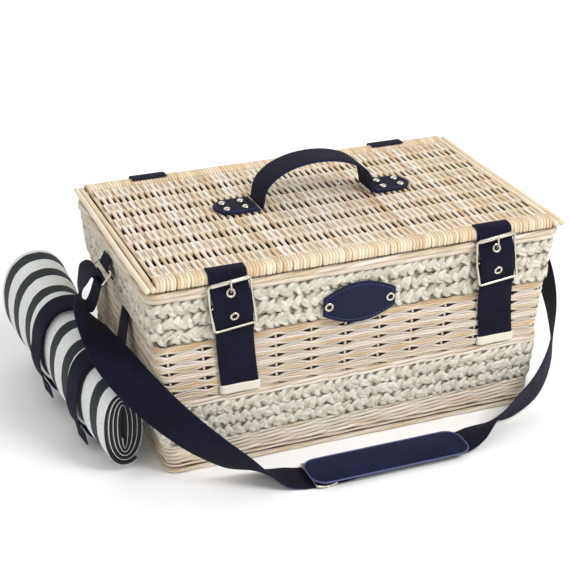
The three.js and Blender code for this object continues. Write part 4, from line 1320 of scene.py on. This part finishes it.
def blanket_straps():
    for spot, y in BLANKET_STRAP_Y.items():
        stops = [[-(wall_half(0.150)[0] + 1.6 * MM), y, 0.152, 0, BLANKET_STRAP_WIDTH, 0]]
        for angle in range(36, -133, -12):
            stops.append(strap_stop(y, angle, (5 if angle < -90 else 2.9) * MM))
        tail_x, _, tail_z, *across = stops[-1]
        stops.append([tail_x + 3 * MM, y, max(tail_z - 16 * MM, 4 * MM), *across])
        upper = ribbon(f"blanket_webbing_upper_{spot}", stops, BLANKET_STRAP_WIDTH, WEBBING_THICKNESS, 110)
        place(upper, "basket", f"blanket_strap_upper_{spot}")
        stops = [[-(wall_half(0.028)[0] + 2.6 * MM), y, 0.028, 0, BLANKET_STRAP_WIDTH, 0]]
        for angle in range(142, 239, 12):
            stops.append(strap_stop(y, angle, 2.3 * MM))
        lower = ribbon(f"blanket_webbing_lower_{spot}", stops, BLANKET_STRAP_WIDTH, WEBBING_THICKNESS, 90)
        place(lower, "basket", f"blanket_strap_lower_{spot}")


blanket_straps()


# ---- shoulder strap ----
RING_INNER = np.array([232, 188]) * MM
RING_OUTER = np.array([243, 176]) * MM
RING_WIRE = 1.5 * MM
SLIDER = np.array([-66, -183]) * MM
SLIDER_PITCH = 11 * MM
PAD_LOW_Z = 5.8


def sewn_end(side):
    """Up the tail, round the ring's outer bar and up again."""
    x, z = RING_OUTER
    reach = RING_WIRE + GAP + WEBBING_THICKNESS / 2
    path = [[x + 4.6 * MM, 0, z + 9 * MM], [x + 3 * MM, 0, z + 4 * MM]]
    path += [[px, 0, pz] for px, pz in arc_stops(x, z, reach, 0, -180)]
    path += [
        [x - 2.4 * MM, 0, z + 4 * MM],
        [x - 1 * MM, 0, z + 8.5 * MM],
        [x + 4 * MM, 0, z + 12 * MM],
        [x + 10.5 * MM, 0, z + 9.5 * MM],
    ]
    return [[side * px, y, pz, 0, -side, 0] for px, y, pz in path]


def in_metres(stops):
    return [[x * MM, y * MM, z * MM, *across] for x, y, z, *across in stops]


def shoulder_runs():
    slider_x, slider_y, pitch = SLIDER[0] / MM, SLIDER[1] / MM, SLIDER_PITCH / MM
    left = sewn_end(-1) + in_metres([
        [-258, -2, 174, 0.06, 1, -0.05],
        [-263, -14, 157, 0.35, 0.85, -0.4],
        [-259, -48, 140, 0.75, 0.4, -0.2],
        [-247, -97, 119, 0.88, -0.1, 0.35],
        [-223, -137, 93, 0.8, -0.3, 0.5],
        [-189, -161, 61, 0.65, -0.42, 0.63],
        [-153, -171, 32, 0.3, -0.62, 0.72],
        [-122, -174, 12, -0.2, -0.85, 0.45],
        [-98, -178.5, 3, -0.2, -0.97, 0.02],
        [slider_x - pitch, slider_y + 0.4, 1.3, -0.06, -1, 0],
        [slider_x, slider_y, 4.9, 0, -1, 0],
        [slider_x + pitch, slider_y, 1.3, 0, -1, 0],
        [slider_x + 28, slider_y, 1.6, 0, -1, 0],
        [slider_x + 46, slider_y, PAD_LOW_Z - 1.2, 0, -1, 0],
        [slider_x + 64, slider_y, PAD_LOW_Z - 1.1, 0, -1, 0],
    ])
    right = in_metres([
        [62, slider_y, PAD_LOW_Z - 1.1, 0, -1, 0],
        [80, slider_y, PAD_LOW_Z - 1.2, 0, -1, 0],
        [98, -182, 4.6, 0, -1, 0.02],
        [116, -178, 8.4, -0.05, -0.97, 0.15],
        [140, -173, 17, -0.15, -0.75, 0.58],
        [172, -165, 24, -0.25, -0.45, 0.85],
        [208, -148, 36, -0.35, -0.35, 0.87],
        [240, -118, 57, -0.33, -0.42, 0.84],
        [261, -80, 86, -0.15, -0.6, 0.75],
        [268, -44, 118, 0, -0.8, 0.55],
        [264, -13, 150, 0, -0.95, 0.3],
        [258, -1, 171, 0, -1, 0.03],
    ]) + sewn_end(1)[::-1]
    for side, stops in (("left", left), ("right", right)):
        run = ribbon(f"shoulder_webbing_{side}", stops, WEBBING_WIDTH, WEBBING_THICKNESS, 240)
        place(run, "shoulder_strap", f"shoulder_strap_{side}")


def slider_and_rings():
    half = WEBBING_WIDTH / 2 + 2.4 * MM

    def bar(offset, z):
        return [np.array([SLIDER[0] + offset, SLIDER[1] + reach, z]) for reach in (-half, half)]

    first = bar(-SLIDER_PITCH, 4.1 * MM)
    mid_bar = bar(0, 1.6 * MM)
    last = bar(SLIDER_PITCH, 4.1 * MM)
    outline = [first[0], first[1], mid_bar[1], last[1], last[0], mid_bar[0]]
    loop = wire("slider_loop", [bent_loop(outline, 2.4 * MM)], 1.3 * MM, NICKEL, True, Z_AXIS)
    bar_path = np.linspace(mid_bar[0], mid_bar[1], 12)
    centre_bar = wire("slider_bar", [bar_path], 1.3 * MM, NICKEL, False, Z_AXIS)
    place(join_pieces([loop, centre_bar]), "shoulder_strap", "strap_slider")
    for side, sign in SIDES:
        corners = [
            np.array([sign * px, end * 22.6 * MM, pz])
            for (px, pz), end in ((RING_INNER, -1), (RING_INNER, 1), (RING_OUTER, 1), (RING_OUTER, -1))
        ]
        normal = np.cross(corners[1] - corners[0], corners[2] - corners[1])
        ring = wire(f"ring_{side}", [bent_loop(corners, 3 * MM)], RING_WIRE, NICKEL, True, unit(normal))
        place(ring, "shoulder_strap", f"strap_ring_{side}")


def ring_tabs():
    """Each tab's loop wraps the ring's inner bar, and its two ends lie on the wall."""
    x, z = RING_INNER
    reach = RING_WIRE + GAP + WEBBING_THICKNESS / 2
    wall = wall_half(z)[0] + 3 * MM + GAP + WEBBING_THICKNESS / 2
    path = [[wall + 1.1 * MM, z + 11 * MM], [wall + 2.2 * MM, z + 7.5 * MM]]
    path += arc_stops(x, z, reach, 45, -45)
    path += [[wall + 1.6 * MM, z - 7 * MM], [wall - 0.2 * MM, z - 12 * MM]]
    for side, sign in SIDES:
        stops = [[sign * px, 0, pz, 0, 1, 0] for px, pz in path]
        tab = ribbon(f"tab_webbing_{side}", stops, 26 * MM, WEBBING_THICKNESS, 70)
        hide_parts(f"ring_tab_{side}")
        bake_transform(tab)


def swell(piece, limit):
    """Inflates a closed cushion with cloth pressure, its seam held.
    Every point is kept within the limit."""
    start = np.array([vertex.co for vertex in piece.data.vertices])
    cloth = piece.modifiers.new("cloth", "CLOTH")
    cloth.settings.use_pressure = True
    cloth.settings.uniform_pressure_force = 4
    cloth.settings.quality = 6
    cloth.settings.effector_weights.gravity = 0
    cloth.settings.vertex_group_mass = "seam"
    cloth.point_cache.frame_start, cloth.point_cache.frame_end = 1, 20
    for number in range(1, 21):
        bpy.context.scene.frame_set(number)
    shaped = piece.evaluated_get(bpy.context.evaluated_depsgraph_get())
    swollen = np.array([vertex.co for vertex in shaped.data.vertices])
    piece.modifiers.clear()
    bpy.context.scene.frame_set(1)
    move = swollen - start
    distance = np.linalg.norm(move, axis=1, keepdims=True)
    move *= np.minimum(1, limit / np.maximum(distance, 1e-9))
    piece.data.vertices.foreach_set("co", (start + move).ravel())


def shoulder_pad():
    """A padded sleeve with piping round its seam. The padding swells by cloth pressure."""
    low, high = box_of("shoulder_pad")
    centre = (low + high) / 2 - CENTRE
    half = (high - low) / 2
    columns, rows = 61, 21
    rounding = 16 * MM
    u, v = np.meshgrid(np.linspace(-1, 1, columns), np.linspace(-1, 1, rows), indexing="ij")
    inner = half[:2] - rounding
    x, y = u * half[0], v * half[1]
    past = np.stack([np.maximum(np.abs(x) - inner[0], 0), np.maximum(np.abs(y) - inner[1], 0)], -1)
    reach = np.maximum(past.max(-1), 1e-9)
    pull = reach / np.maximum(np.linalg.norm(past, axis=-1), 1e-9)
    x = np.sign(x) * (np.minimum(np.abs(x), inner[0]) + past[..., 0] * pull)
    y = np.sign(y) * (np.minimum(np.abs(y), inner[1]) + past[..., 1] * pull)
    crown = (1 - np.abs(u) ** 6) * (1 - np.abs(v) ** 3)
    top = np.stack([centre[0] + x, centre[1] + y, centre[2] - 0.8 * MM + 2.2 * MM * crown], -1)
    bottom = np.stack([centre[0] + x, centre[1] + y, centre[2] - 0.8 * MM - 1.2 * MM * crown], -1)
    size = columns * rows
    index = np.arange(size).reshape(columns, rows)
    rim = np.concatenate([index[:, 0], index[-1, 1:], index[-2::-1, -1], index[0, -2:0:-1]])
    is_rim = np.zeros(size, bool)
    is_rim[rim] = True
    below = np.where(is_rim, np.arange(size), np.cumsum(~is_rim) - 1 + size)
    points = np.concatenate([top.reshape(-1, 3), bottom.reshape(-1, 3)[~is_rim]])
    quads = np.stack([index[:-1, :-1], index[1:, :-1], index[1:, 1:], index[:-1, 1:]], -1).reshape(-1, 4)
    faces = quads.tolist() + below[quads[:, ::-1]].tolist()
    corners = np.array(faces).ravel()
    uv = points[corners][:, [1, 0]]
    edge = np.zeros(len(points))
    pad = add_mesh("padded_sleeve", points, faces, PAD_CLOTH, {"edge": edge}, uv)
    seam = pad.vertex_groups.new(name="seam")
    seam.add([int(i) for i in rim], 1.0, "REPLACE")
    swell(pad, 1.8 * MM)
    place(pad, "shoulder_strap", "shoulder_pad")
    seam_path = points[rim]
    piping = {"path": seam_path, "radius": 0.9 * MM, "tone": 0.5}
    place(tubes("pad_piping", [piping], THREAD, sides=8, closed=True), "shoulder_strap")


shoulder_runs()
slider_and_rings()
ring_tabs()
shoulder_pad()


# ---- stage and lights ----
def add_floor():
    n = Nodes("pale_floor")
    speckle = n.noise(n.object_space(), 3.0)
    n.set(Base_Color=n.mix(speckle, (0.93, 0.93, 0.93), (0.96, 0.96, 0.96)), Roughness=0.9)
    size = 6.0
    corners = [(-size, -size, 0), (size, -size, 0), (size, size, 0), (-size, size, 0)]
    floor = add_mesh("floor", corners, [[0, 1, 2, 3]], n.material)


def add_light(name, spot, target, size, power):
    data = bpy.data.lights.new(name, "AREA")
    data.size = size
    data.energy = power
    light = bpy.data.objects.new(name, data)
    light.location = CENTRE + np.array(spot)
    light.rotation_euler = (Vector(target) - Vector(spot)).to_track_quat("-Z", "Y").to_euler()
    bpy.context.collection.objects.link(light)


def add_world():
    world = bpy.data.worlds.new("studio")
    world.use_nodes = True
    background = world.node_tree.nodes["Background"]
    background.inputs["Color"].default_value = (1, 1, 1, 1)
    background.inputs["Strength"].default_value = 0.75
    bpy.context.scene.world = world
    bpy.context.scene.view_settings.view_transform = "Standard"


add_floor()
add_light("key", (0.9, -1.5, 1.9), (0, 0, 0.1), 0.9, 38)
add_light("fill", (-1.6, -1.2, 1.0), (0, 0, 0.1), 1.4, 3)
add_light("backdrop", (0, 2.2, 1.6), (0, 2.7, 0), 2.0, 25)
add_world()
